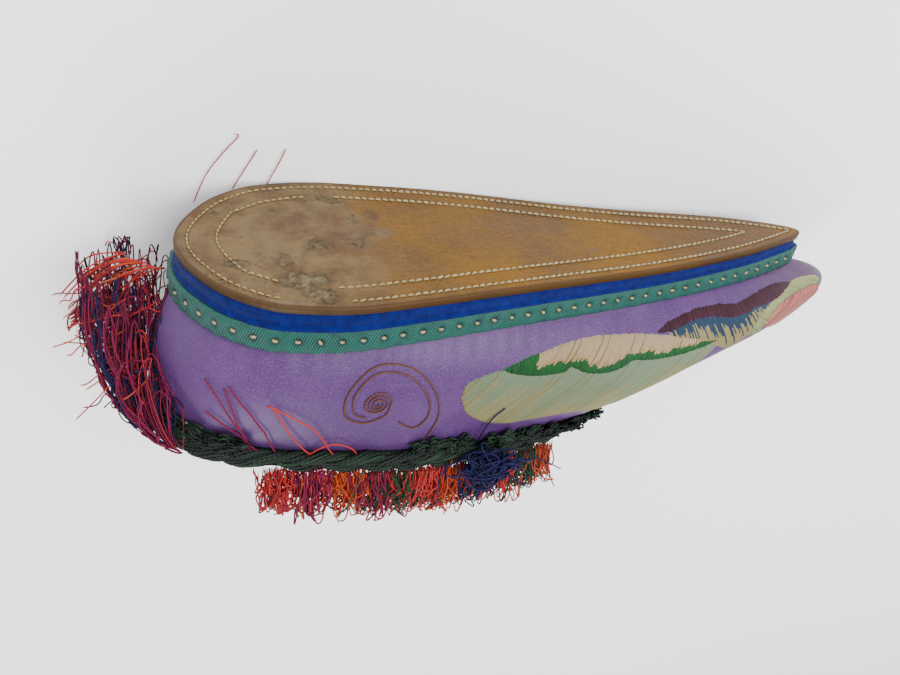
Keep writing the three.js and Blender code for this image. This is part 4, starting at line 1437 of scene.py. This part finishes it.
@dataclass
class Collar:
    """The plaited collar braid and small looped rosettes beside it.

    Rosettes are along, side and radius. Tiers are petals, share of the radius and lift.
    """

    strands: int = 3
    threads: int = 8
    turns: int = 10
    strand_radius: float = 0.95
    thread_radius: float = 0.4
    spread: float = 1.45
    rosettes: tuple[tuple[float, float, float], ...] = (
        (0.03, 1.0, 4.2), (0.075, 1.0, 3.6), (0.335, 1.0, 4.4), (0.385, 1.0, 3.8), (0.455, 1.0, 4.4),
        (0.505, 1.0, 3.8), (0.55, 1.0, 4.2), (0.595, 1.0, 3.4), (0.12, -1.0, 3.6), (0.30, -1.0, 3.8),
        (0.42, -1.0, 3.8), (0.52, -1.0, 4.0), (0.60, -1.0, 3.4), (0.635, 1.0, 3.6), (0.645, -1.0, 3.4))
    steps: int = 30
    loop_steps: int = 44
    loop_strands: int = 4
    tiers: tuple[tuple[int, float, float], ...] = ((5, 1.0, 0.9), (4, 0.8, 1.7), (3, 0.5, 2.4))

    def braid(self) -> bpy.types.Object:
        """Makes a flat plait round the middle line: each strand swings across as the sine of its phase
        and in and out as the sine of twice that, and is a bundle of threads that wind round its middle.

        Returns:
            The plait, with a core in each strand.
        """
        count = self.turns * self.steps
        line = FORM.braid_line(count)
        ahead = around(line)
        over = unit(np.cross(ahead, np.cross(np.array((0.0, 0.0, 1.0)), ahead)))
        out = np.cross(ahead, over)
        out = out * np.sign((out * (line - line.mean(0))).sum(-1, keepdims=True))
        line = line - 0.3 * out
        rng = np.random.default_rng(11)
        wobble = np.append(rng.normal(0, 0.12, 60), 0)
        wobble = np.interp(np.arange(count), np.linspace(0, count, 61), wobble)
        wide = (self.spread + wobble)[:, None]
        place = TAU * np.arange(count) / count
        one_each = (self.threads, 1)
        core = dict(closed=True, pitch=1.3, tone=0.1, tint=Palette.BRAID.tint)
        sheet = Sheet()
        for k in range(self.strands):
            phase = self.turns * place + TAU * k / self.strands + 0.5 * np.sin(3 * place + k)
            path = line + wide * (over * np.sin(phase)[:, None] + 0.42 * out * np.sin(2 * phase)[:, None])
            own = TAU * np.arange(self.threads)[:, None] / self.threads + 14 * place
            own = own + rng.normal(0, 0.15, one_each)
            full = self.strand_radius * rng.uniform(0.8, 1.15, one_each)
            full = full * (1 + 0.12 * np.sin(19 * place + k))
            bundle = path + (full * np.cos(own))[..., None] * over + (full * np.sin(own))[..., None] * out
            tint = Palette.BRAID.pick(Palette.GREEN, 0.8, rng, self.threads)
            sheet.tubes(bundle, self.thread_radius, 5, closed=True, pitch=1.1,
                        tone=rng.uniform(0.2, 1, self.threads), tint=tint)
            sheet.tubes(path[None], self.strand_radius * 0.9, 6, **core)
        # A filler cord behind the plait closes the gap to the satin; partly a real cord, its near-black
        # tone is partly painted shade under the braid.
        sheet.tubes((line - 1.4 * out - 0.9 * over)[None], 1.05, 6, **core)
        obj = sheet.build("collar_cord", yarn())
        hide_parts("collar_braid")
        return obj

    def rosette_loops(self, upper: Upper) -> bpy.types.Object:
        """Makes small knots of looped cord on the satin, under the braid: tiers of loops, each a rose
        curve whose reach swings with the cosine of some turns.

        Args:
            upper: the satin that carries them.

        Returns:
            All rosettes as one piece.
        """
        sheet = Sheet()
        rng = np.random.default_rng(5)
        t = np.linspace(0, TAU, self.loop_steps, endpoint=False)
        strands = self.loop_strands
        for along, side, radius in self.rosettes:
            swing = rng.uniform(0, TAU)
            for petals, share, lift in self.tiers:
                reach = radius * share * (0.55 + 0.45 * np.cos(petals * t + swing))
                x = along * FORM.length + reach * np.cos(t + swing) * 1.15
                row = 0.885 - (radius * 0.3 - reach * np.sin(t + swing)) / 42
                out = lift + 0.5 * np.sin(petals * t) ** 2
                x, row = np.clip(x / FORM.length, 0.004, 1), np.clip(row, 0.02, 0.968)
                line = upper.surface(x, side, row, out)
                phase = rng.uniform(0, TAU, (strands, 1, 3))
                stray = rng.normal(0, 0.42, (strands, 1, 3)) + 0.3 * np.sin(t[None, :, None] * 2 + phase)
                tint = Palette.BRAID.pick(Palette.GREEN, 0.75, rng, strands)
                sheet.tubes(line[None] + stray, 0.26, 4, closed=True, tone=rng.uniform(0.1, 1, strands),
                            tint=tint)
        obj = sheet.build("collar_rosettes", yarn())
        return obj

    def build(self, upper: Upper) -> list[bpy.types.Object]:
        """Makes the braid and the rosettes."""
        return [self.braid(), self.rosette_loops(upper)]


@dataclass
class Silk:
    """Loose silk: the looped fringe on both sides, the heel's net, the tassels, the knot and strays.

    Tassels are solid, colour, degrees on the floor, seat at the heel, share of the length and slot.
    Floor strays run through row millimetres, and loose threads through (along, row, height) places.
    """

    thread: float = 0.24
    length: float = 15.0
    start: float = 0.12
    end: float = 0.56
    lean: float = 0.3
    droop: float = 3.0
    loops: int = 56
    strands: int = 18
    fall: float = 32.0
    tassel_length: float = 38.0
    tassel_threads: int = 64
    knot_place: float = 0.43
    coils: int = 44
    locks: tuple[Palette, ...] = (
        Palette.CORAL, Palette.MAGENTA, Palette.ORANGE, Palette.MAGENTA, Palette.GREEN, Palette.CORAL,
        Palette.ORANGE, Palette.NAVY, Palette.CORAL, Palette.GREEN, Palette.SALMON)
    tassels: tuple[tuple[str, Palette, float, float, float, str], ...] = (
        ("tassel_coral", Palette.CORAL, 38, 0.35, 0.85, "coral_silk"),
        ("tassel_navy", Palette.NAVY, 66, -0.1, 1.0, "navy_silk"),
        ("tassel_sage", Palette.SAGE, 88, -0.42, 1.05, "sage_silk"),
        ("tassel_green", Palette.GREEN, 103, -0.72, 0.8, "green_silk"))
    floor_strays: tuple[tuple[tuple[float, float, float], ...], ...] = (
        ((70, -27, 1.5), (67, -36, 1.0), (63, -43, 0.6), (60, -47.5, 0.6), (60.5, -49, 1.6)),
        ((61, -32, 1.0), (57, -41, 0.5), (55.5, -44.5, 0.5)),
        ((53, -34, 1.0), (50, -42, 0.5), (49, -45.5, 0.5)))
    loose: tuple[tuple[Palette, tuple[tuple[float, float, float], ...]], ...] = (
        (Palette.MAGENTA, ((0.045, 0.283, 0.35), (0.065, 0.425, 0.5), (0.086, 0.661, 0.8),
                           (0.10, 0.92, 1.3))),
        (Palette.MAGENTA, ((0.064, 0.301, 0.3), (0.076, 0.452, 0.45), (0.087, 0.675, 0.8),
                           (0.096, 0.93, 1.3))),
        (Palette.MAGENTA, ((0.068, 0.278, 0.3), (0.083, 0.385, 0.4), (0.101, 0.532, 0.5),
                           (0.13, 0.92, 1.2))),
        (Palette.MAGENTA, ((0.051, 0.546, 0.35), (0.073, 0.657, 0.6), (0.11, 0.93, 1.2))),
        (Palette.CORAL, ((0.111, 0.367, 0.5), (0.142, 0.47, 0.8), (0.171, 0.608, 1.0),
                         (0.202, 0.93, 1.4))),
        (Palette.CORAL, ((0.111, 0.370, 0.7), (0.121, 0.416, 0.7), (0.144, 0.679, 1.0),
                         (0.176, 0.94, 1.4))),
        (Palette.CORAL, ((0.165, 0.94, 1.4), (0.18, 0.80, 1.2), (0.2, 0.76, 1.0), (0.222, 0.83, 1.2),
                         (0.235, 0.95, 1.4))),
        (Palette.NAVY, ((0.409, 0.94, 1.6), (0.419, 0.639, 1.1), (0.438, 0.514, 0.8))))

    def braid_point(self, along: Array, side: Array) -> Array:
        """Returns points of the braid's middle line in row millimetres."""
        out = FORM.fit + FORM.braid * 0.6
        return FORM.placed(FORM.upper_point(along, side, RIM_ROW, out)) / MM

    @staticmethod
    def rests(points: Array, radius: float) -> Array:
        """Lifts points that reach below the floor, flattened by an exponential as they near it.

        Args:
            points: places in row millimetres, which are changed.
            radius: the thread's radius.

        Returns:
            The same points.
        """
        z = points[..., 2] - radius
        points[..., 2] = radius + np.where(z > 1, z, np.exp(np.minimum(z, 1) - 1))
        return points

    @staticmethod
    def curls(rng: np.random.Generator, lines: int, t: Array, size: float, waves: float) -> Array:
        """Gives small wanderings, sums of two sines, nothing at the root and most at the free end.

        Args:
            rng: the source of unevenness.
            lines: number of threads.
            t: steps along a thread.
            size: their size in millimetres.
            waves: number of waves of the slower sine.

        Returns:
            Shifts (lines, n, 3).
        """
        total, shape = 0, (lines, 1, 3)
        for octave in (1.0, 2.1):
            phase = rng.uniform(0, TAU, shape)
            pace = rng.uniform(0.7, 1.3, shape) * waves * octave
            wave = np.sin(TAU * pace * t[None, :, None] + phase)
            total = total + wave / octave * rng.normal(0, size, shape)
        return total * np.minimum(t, 1)[None, :, None]

    def fringe(self, side: float, node: str) -> bpy.types.Object:
        """Makes the fringe of one side: hairpin loops in bunches that stand out past the braid, each a
        power of a sine, and some loose threads.

        Args:
            side: 1 for the upper side, whose loops droop a little, -1 for the one that falls to the floor.
            node: the solid it replaces.

        Returns:
            The fringe as one mesh.
        """
        rng = np.random.default_rng(21 if side > 0 else 22)
        out = unit(FORM.placed_direction(unit(np.array((0, side * self.lean, 1.0)))))
        across = unit(FORM.placed_direction(unit(np.array((0, side, -self.lean)))))
        ahead = unit(FORM.placed_direction(np.array((1.0, 0, 0))))
        t = np.linspace(0, 1, 22)
        arch = np.sin(np.pi * t) ** 0.7
        sheet = Sheet()
        down = np.array((0, 0, 1.0))
        for k, colour in enumerate(self.locks):
            count = self.loops
            share = (k + 0.5 + rng.normal(0, 0.26, count)) / len(self.locks)
            root = self.braid_point(mix(self.start, self.end, np.clip(share, 0, 1)), side)
            size = rng.uniform(0.4, 1.2, count)
            reach = self.length * size[:, None] * arch + FORM.braid * 0.3
            fan = rng.normal(0, 2.4, count)[:, None] * arch
            fan = fan + (t - 0.5) * rng.uniform(0.5, 6.0, count)[:, None]
            depth = rng.normal(0, 1.7, count)[:, None] * arch**0.8
            fall = (self.droop if side > 0 else root[:, 2:]) * (reach / self.length) ** 2
            line = root[:, None] + out * reach[..., None] + ahead * fan[..., None]
            line = line + across * depth[..., None] - down * fall[..., None]
            line = line + self.curls(rng, count, arch, 1.0, 0.8)
            near = self.locks[(k + 1) % len(self.locks)]
            pick = rng.random((count, 1))
            tint = np.where(pick < 0.8, colour.tint, np.where(pick < 0.92, near.tint, Palette.CORAL.tint))
            sheet.tubes(self.rests(line, self.thread), 0.2, 4, pitch=1.2,
                        tone=rng.uniform(0.15, 1, count), tint=tint)
        count, s = self.strands, t[None, :, None]
        root = self.braid_point(mix(self.start, self.end, rng.uniform(0, 1, count)), side)
        heading = out + ahead * rng.normal(0, 0.7, (count, 1)) + across * rng.normal(0, 0.4, (count, 1))
        loose = root[:, None] + unit(heading)[:, None] * rng.uniform(14, 22, (count, 1, 1)) * s
        loose = loose - down * rng.uniform(1, 6, (count, 1, 1)) * s**2
        loose = loose + self.curls(rng, count, t, 0.9, 0.8)
        pool = np.array([self.locks[j].tint for j in rng.integers(0, len(self.locks), count)])
        sheet.tubes(self.rests(loose, self.thread), 0.18, 5, pitch=1.2, tone=rng.uniform(0.4, 1, count),
                    tint=pool)
        obj = sheet.build(node + "_silk", yarn(), close=1e-3, world=True, turn_out=False)
        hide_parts(node)
        return obj

    def seat(self, seat: Array) -> Array:
        """Returns places on the braid round the heel, from the upper side (1) to the floor (-1)."""
        return self.braid_point(0.05 * seat**2, np.where(seat < 0, -1.0, 1.0))

    def hang(self, rng: np.random.Generator, share: Array, t: Array, ends: Array, stand: Value,
             loose: float) -> Array:
        """Gives threads that leave the braid at the heel and hang beside it towards the sole: they stand
        off by a sine, and sink by a power of their reach.

        Args:
            rng: the source of small unevenness.
            share: place round the heel, 0 at the floor to 1 at the upper side.
            t: steps along a thread.
            ends: each thread's share of the full length.
            stand: share of the net's full distance from the heel.
            loose: unevenness of that distance, in millimetres.

        Returns:
            Lines in row millimetres.
        """
        reach = t * ends
        seat = 2 * share - 1
        root = self.seat(seat)
        out = unit(np.stack((np.ones_like(seat), 0 * seat, 0.4 * seat), -1))
        away = FORM.braid / 2 + FORM.fit + stand * (1.0 + 13 * np.sin(np.pi / 2 * reach))
        away = away + rng.normal(0, loose, (len(share), 1)) * reach
        line = root + out * np.maximum(away, FORM.braid / 2 + 0.6)[..., None]
        fall = -0.75 * self.fall * reach**1.2
        return line + np.stack((0 * reach, fall, -0.6 * root[..., 2] * reach**2), -1)

    def net(self) -> bpy.types.Object:
        """Makes the heel's silk: a net of threads that zigzag and meet in knots, a curtain of threads
        under it, loose tails, a coral bundle that sweeps aside, and a few strays on the floor.

        Returns:
            All of it as one piece.
        """
        rng = np.random.default_rng(31)
        sheet = Sheet()
        t, s = np.linspace(0, 1, 43), np.linspace(0, 1, 17)
        self.mesh_threads(sheet, rng, t)
        curtain = self.curtain(sheet, rng, t)
        for tails, low, high, reach, pool in (
                (52, 22, 32, 14.0, (Palette.CORAL, Palette.SALMON, Palette.CORAL, Palette.MAGENTA)),
                (34, 8, 24, 9.0, (Palette.MAGENTA, Palette.CORAL, Palette.GREEN, Palette.NAVY))):
            k, at = rng.integers(0, len(curtain), tails), rng.integers(low, high, tails)
            heading = unit(np.stack((rng.uniform(0.4, 1, tails), rng.uniform(-0.2, 0.8, tails),
                                     rng.normal(0.1, 0.4, tails)), 1))
            size = rng.uniform(0.4, 1.0, tails)[:, None] * reach
            free = curtain[k, at][:, None] + heading[:, None] * (size * s)[..., None]
            free = free + np.array((0, 0.45, -0.3)) * (size * s**2)[..., None]
            free = FORM.off_heel(free + self.curls(rng, tails, s, 0.8, 0.7))
            tints = np.array([colour.tint for colour in pool])
            sheet.tubes(self.rests(free, 0.2), 0.17, 5, pitch=1.1, tone=rng.uniform(0.35, 1, tails),
                        tint=tints[rng.integers(0, len(tints), tails)])
        count = 26
        base = self.hang(rng, rng.uniform(0.5, 0.95, (count, 1)), np.array((0.86, 1.0)),
                         np.ones((count, 1)), 0.3, 0.3)
        size = rng.uniform(8, 18, (count, 1, 1))
        heading = unit(np.array((1.0, 0.12, 0.0)) + rng.normal(0, 0.16, (count, 3)))
        sweep = base[:, 1:] + heading[:, None] * size * s[:, None]
        sweep = sweep + np.array((0, 0.85, -0.1)) * size * (s**2)[:, None]
        sweep = FORM.off_heel(sweep + self.curls(rng, count, s, 0.5, 0.5))
        tint = Palette.CORAL.pick(Palette.SALMON, 0.7, rng, count)
        sheet.tubes(self.rests(sweep, 0.2), 0.2, 5, pitch=1.1, tone=rng.uniform(0.5, 1, count), tint=tint)
        for places in self.floor_strays:
            line = self.rests(bent(np.array(places, float), 30), 0.2)
            sheet.tubes(line[None], 0.16, 5, pitch=1.1, tone=0.8, tint=Palette.CORAL.tint)
        obj = sheet.build("heel_net_silk", yarn(), close=1e-3, world=True, turn_out=False)
        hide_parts("heel_net")
        return obj

    def mesh_threads(self, sheet: Sheet, rng: np.random.Generator, t: Array) -> None:
        """Adds the net: threads that zigzag by a triangle wave, open between the knots where they meet.

        Args:
            sheet: the sheet that takes them.
            rng: the source of unevenness.
            t: steps along a thread.
        """
        count, rows, each = 20, 6, 3
        zig = np.abs((t * rows) % 2 - 1) - 0.5
        open_part = np.abs(np.sin(np.pi * t * rows))
        step = np.repeat(np.arange(count), each)[:, None]
        share = (step + 0.5 + np.where(step % 2, 1.05, -1.05) * zig) / count
        share = share + 0.015 * np.sin(4 * t + 0.8 * step)
        share = share + rng.normal(0, 0.012, (count * each, 1)) * open_part
        ends = np.repeat(rng.uniform(0.72, 1.0, (count, 1)), each, 0)
        line = self.hang(rng, np.clip(share, 0.01, 0.99), t, ends, 1.0, 0.0)
        sway = np.repeat(self.curls(rng, count, t, 0.5, 0.9), each, 0)
        apart = rng.normal(0, 0.35, (count * each, 1, 3)) * open_part[:, None]
        line = FORM.off_heel(line + sway + apart)
        tint = np.where(step % 5 < 2, Palette.NAVY.tint, Palette.MAGENTA.tint)
        sheet.tubes(self.rests(line, 0.3), 0.17, 4, pitch=1.2,
                    tone=rng.uniform(0.1, 0.9, count * each), tint=tint)
        knots = line[::each, 7:36:7].reshape(-1, 3)
        ball = np.linspace(-1, 1, 7)
        way = unit(rng.normal(0, 1, (len(knots), 3)))
        sheet.tubes(knots[:, None] + way[:, None] * ball[:, None] * 0.5,
                    0.42 * np.sqrt(np.maximum(1 - ball**2, 0.02)), 6, pitch=0.8,
                    tone=rng.uniform(0.3, 0.9, len(knots)), tint=np.repeat(tint[::each], 5, 0))

    def curtain(self, sheet: Sheet, rng: np.random.Generator, t: Array) -> Array:
        """Adds the curtain: threads that fall close to the heel and turn back at their ends by a sine.

        Args:
            sheet: the sheet that takes them.
            rng: the source of unevenness.
            t: steps along a thread.

        Returns:
            The threads' lines.
        """
        count = 180
        one_each = (count, 1)
        share = rng.uniform(0.02, 0.98, one_each) + rng.normal(0, 0.13, one_each) * t
        share = np.clip(share, 0.01, 0.99) + rng.uniform(-0.05, 0.05, one_each) * ease((t - 0.6) / 0.4)
        ends, stand = rng.uniform(0.5, 1.0, one_each), rng.uniform(0.0, 0.95, one_each) ** 1.3
        line = self.hang(rng, share, np.sin(0.5 * np.pi * 1.3 * t), ends, stand, 0.8)
        line = FORM.off_heel(line + self.curls(rng, count, t, 1.0, 0.9))
        tint = Palette.MAGENTA.pick(Palette.NAVY, 0.84, rng, count)
        tint = np.where(rng.random(one_each) < 0.07, Palette.CORAL.tint, tint)
        sheet.tubes(self.rests(line, 0.2), 0.17, 4, pitch=1.2, tone=rng.uniform(0.0, 0.9, count), tint=tint)
        return line

    def tassel(self, name: str, colour: Palette, degrees: float, seat: float, reach: float,
               slot: str) -> bpy.types.Object:
        """Makes a tassel: threads side by side that spread from a narrow neck by a sine and lie on the
        floor, bound by three rings.

        Args:
            name: the solid it replaces.
            colour: its thread colour.
            degrees: its way on the floor.
            seat: its place round the heel.
            reach: its share of the full length.
            slot: not used.

        Returns:
            The tassel.
        """
        rng = np.random.default_rng(int(degrees))
        angle = math.radians(degrees)
        way = np.array((math.cos(angle), math.sin(angle), 0))
        aside = np.array((-math.sin(angle), math.cos(angle), 0))
        size = self.tassel_length * reach
        root = self.seat(np.array([seat]))[0] + way * (FORM.braid / 2 + FORM.fit)
        knots = np.array((root, root + way * size * 0.2, root + way * size * 0.5, root + way * size))
        knots[1:, 2] = (0.85 * root[2], 7.5 * 0.45, 7.5 * 0.3)
        t = np.linspace(0, 1, 22)
        line = bent(knots, len(t))
        along = lambda at: np.stack([np.interp(at, t, line[:, j]) for j in range(3)], -1)
        count = self.tassel_threads
        theta, part = rng.uniform(0, TAU, count), np.sqrt(rng.uniform(0, 1, count))
        radius = mix(1.1, 3.6, np.sin(np.pi / 2 * t**1.8)) * part[:, None]
        theta = theta[:, None] + 1.5 * t * rng.normal(0, 0.5, count)[:, None]
        trim = rng.uniform(0.84, 1.03, count)
        lines = along(t * trim[:, None]) + aside * (radius * np.cos(theta))[..., None]
        lines = lines + np.array((0, 0, 0.8)) * (radius * np.sin(theta))[..., None]
        lines = lines + self.curls(rng, count, t, 0.4, 2.2)
        sheet = Sheet()
        sheet.tubes(self.rests(lines, self.thread), self.thread, 4, pitch=1.2,
                    tone=rng.uniform(0.35, 1, count), tint=colour.tint)
        loop = np.linspace(0, TAU, 24, endpoint=False)
        for place in (0.06, 0.09, 0.12):
            ring = along(place) + aside * 1.35 * np.cos(loop)[:, None]
            ring = ring + np.array((0, 0, 1.25)) * np.sin(loop)[:, None]
            sheet.tubes(ring[None], 0.34, 6, closed=True, pitch=1.2, tone=0.8, tint=colour.tint)
        obj = sheet.build(name + "_silk", yarn(), close=1e-3, world=True, turn_out=False)
        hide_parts(name)
        return obj

    def knot(self) -> bpy.types.Object:
        """Makes the navy knot: flattened rings of thread round a common middle, each wavy by a sine, with
        a few loose ends.

        Returns:
            The knot.
        """
        rng = np.random.default_rng(41)
        centre = FORM.upper_point(np.array(self.knot_place), 1.0, RIM_ROW, FORM.fit + FORM.braid * 0.6)
        centre = centre + np.array((0, FORM.braid / 2 + FORM.fit + 0.35 * 9, 0))
        t = np.linspace(0, TAU, 36, endpoint=False)
        count = self.coils
        pole = unit(rng.normal(0, 1, (count, 3)) * (1.0, 0.6, 1.0))
        one = unit(np.cross(pole, (0.2, 0.9, 0.4)))
        two = np.cross(pole, one)
        size = rng.uniform(0.55, 1.0, (count, 1, 1))
        ring = one[:, None] * np.cos(t)[:, None] + two[:, None] * np.sin(t)[:, None]
        ring = ring + pole[:, None] * rng.normal(0, 0.25, (count, 1, 1))
        drift = rng.normal(0, 1, (count, 1, 3)) * np.array((1.6, 0.4, 1.4))
        wavy = 1 + 0.22 * np.sin(3 * t + 1)[:, None]
        line = centre + drift + ring * size * np.array((6.0, 2.6, 4.0)) * wavy
        sheet = Sheet()
        sheet.tubes(line, 0.22, 5, closed=True, pitch=1.2, tone=rng.uniform(0.1, 1, count),
                    tint=Palette.NAVY.tint)
        s, ends = np.linspace(0, 1, 18), 9
        heading = unit(np.stack((rng.uniform(0.2, 1, ends), rng.uniform(-0.1, 0.5, ends),
                                 rng.uniform(-0.8, 0.4, ends)), 1))
        tail = centre + heading[:, None] * (rng.uniform(5, 11, ends)[:, None] * s)[..., None]
        tail = tail + self.curls(rng, ends, s, 0.6, 1.0)
        sheet.tubes(tail, 0.25, 5, pitch=1.2, tone=0.8, tint=Palette.NAVY.tint)
        obj = sheet.build("knot_navy_silk", yarn(), close=1e-3, turn_out=False)
        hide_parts("knot_navy")
        return obj

    def strays(self, upper: Upper) -> bpy.types.Object:
        """Makes loose threads on the satin near the collar, each a curve through its own places.

        Args:
            upper: the satin that carries them.

        Returns:
            All of them as one piece.
        """
        sheet = Sheet()
        for colour, places in self.loose:
            along, row, out = bent(np.array(places), 30).T
            line = upper.surface(along, 1.0, np.clip(row, 0.02, 0.965), out)
            sheet.tubes(line[None], 0.2, 6, pitch=1.1, tone=0.7, tint=colour.tint)
        obj = sheet.build("loose_threads", yarn(), close=1e-3)
        return obj

    def build(self, upper: Upper) -> list[bpy.types.Object]:
        """Makes every piece of loose silk.

        Args:
            upper: the satin that carries the loose threads.

        Returns:
            The pieces.
        """
        made = [self.fringe(1.0, "fringe_left")]
        made.append(self.fringe(-1.0, "fringe_right"))
        made += [self.net(), self.knot(), self.strays(upper)]
        return made + [self.tassel(*row) for row in self.tassels]


@dataclass
class Studio:
    """A pale floor, soft light and the camera at the photograph's angle to the shoe.

    Lamps are name, place, size and power.
    """

    eye: tuple[float, float, float] = (-4.0, 152.0, -91.0)
    axis: tuple[float, float, float] = (0.33, -0.61, 0.72)
    down: tuple[float, float, float] = (-0.11, 0.71, 0.70)
    aim: tuple[float, float, float] = (63.0, 8.0, 24.0)
    lens: float = 32.0
    floor_size: float = 3.0
    surroundings: float = 1.19
    lamps: tuple[tuple[str, tuple[float, float, float], float, float], ...] = (
        ("key", (-0.5, -0.9, 1.1), 0.9, 42), ("front", (0.5, -1.1, 0.25), 0.8, 9),
        ("back", (0.3, 1.0, 0.9), 0.8, 12))

    def camera(self) -> None:
        """Places the camera: the photograph's own view of the shoe, swung so that it is in the middle."""
        eye = Vector(FORM.placed(np.array(self.eye)))
        axis = Vector(FORM.placed_direction(unit(np.array(self.axis)))).normalized()
        down = Vector(FORM.placed_direction(np.array(self.down)))
        down = (down - down.dot(axis) * axis).normalized()
        target = Vector(FORM.placed(np.array(self.aim)))
        swing = axis.rotation_difference((target - eye).normalized())
        axis, down = swing @ axis, swing @ down
        right = down.cross(axis)
        data = bpy.data.cameras.new("camera")
        data.lens, data.sensor_width = self.lens, 36
        data.clip_start, data.clip_end = 0.005, 20
        obj = bpy.data.objects.new("camera", data)
        obj.matrix_world = Matrix.Translation(eye) @ Matrix((right, -down, -axis)).transposed().to_4x4()
        bpy.context.scene.collection.objects.link(obj)
        bpy.context.scene.camera = obj

    def floor(self) -> None:
        """Makes the pale floor."""
        mesh = bpy.data.meshes.new("floor")
        size = self.floor_size
        corners = [(-size, -size, 0), (size, -size, 0), (size, size, 0), (-size, size, 0)]
        mesh.from_pydata(corners, [], [(0, 1, 2, 3)])
        f = Finish("floor", Roughness=0.7, Specular_IOR_Level=0.2)
        f.color(f.blend(f.spots(3, 2, 0.5, 0.3, 0.7), (0.905, 0.905, 0.91), (0.93, 0.93, 0.935)))
        mesh.materials.append(f.material)
        obj = bpy.data.objects.new("floor", mesh)
        bpy.context.scene.collection.objects.link(obj)

    def lamp(self, name: str, place: tuple[float, float, float], size: float, power: float) -> None:
        """Adds a square soft light that looks at the shoe.

        Args:
            name: its name.
            place: where it is, in metres.
            size: its side in metres.
            power: its power in watts.
        """
        data = bpy.data.lights.new(name, "AREA")
        data.energy, data.size = power, size
        obj = bpy.data.objects.new(name, data)
        obj.location = place
        obj.rotation_mode = "QUATERNION"
        obj.rotation_quaternion = (Vector((0, 0, 0.03)) - Vector(place)).to_track_quat("-Z", "Y")
        bpy.context.scene.collection.objects.link(obj)

    def build(self) -> None:
        """Makes floor, lights, surroundings and camera."""
        self.floor()
        for lamp in self.lamps:
            self.lamp(*lamp)
        world = bpy.data.worlds.new("studio")
        world.use_nodes = True
        background = world.node_tree.nodes["Background"]
        background.inputs["Color"].default_value = (1, 1, 1, 1)
        background.inputs["Strength"].default_value = self.surroundings
        bpy.context.scene.world = world
        self.camera()


def main() -> None:
    """Builds the pieces in order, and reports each."""
    logging.basicConfig(level=logging.INFO, format="%(message)s")
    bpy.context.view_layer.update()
    Studio().build()
    upper = Upper()
    made = [*Sole().build(), ClothEdge().build(), *Ribbon().build(), upper.build(), Insole().build()]
    made += Embroidery().build(upper) + Collar().build(upper) + Silk().build(upper)
    for obj in made:
        LOG.info("%s: %d faces", obj.name, len(obj.data.polygons))


if __name__ == "__main__":
    main()
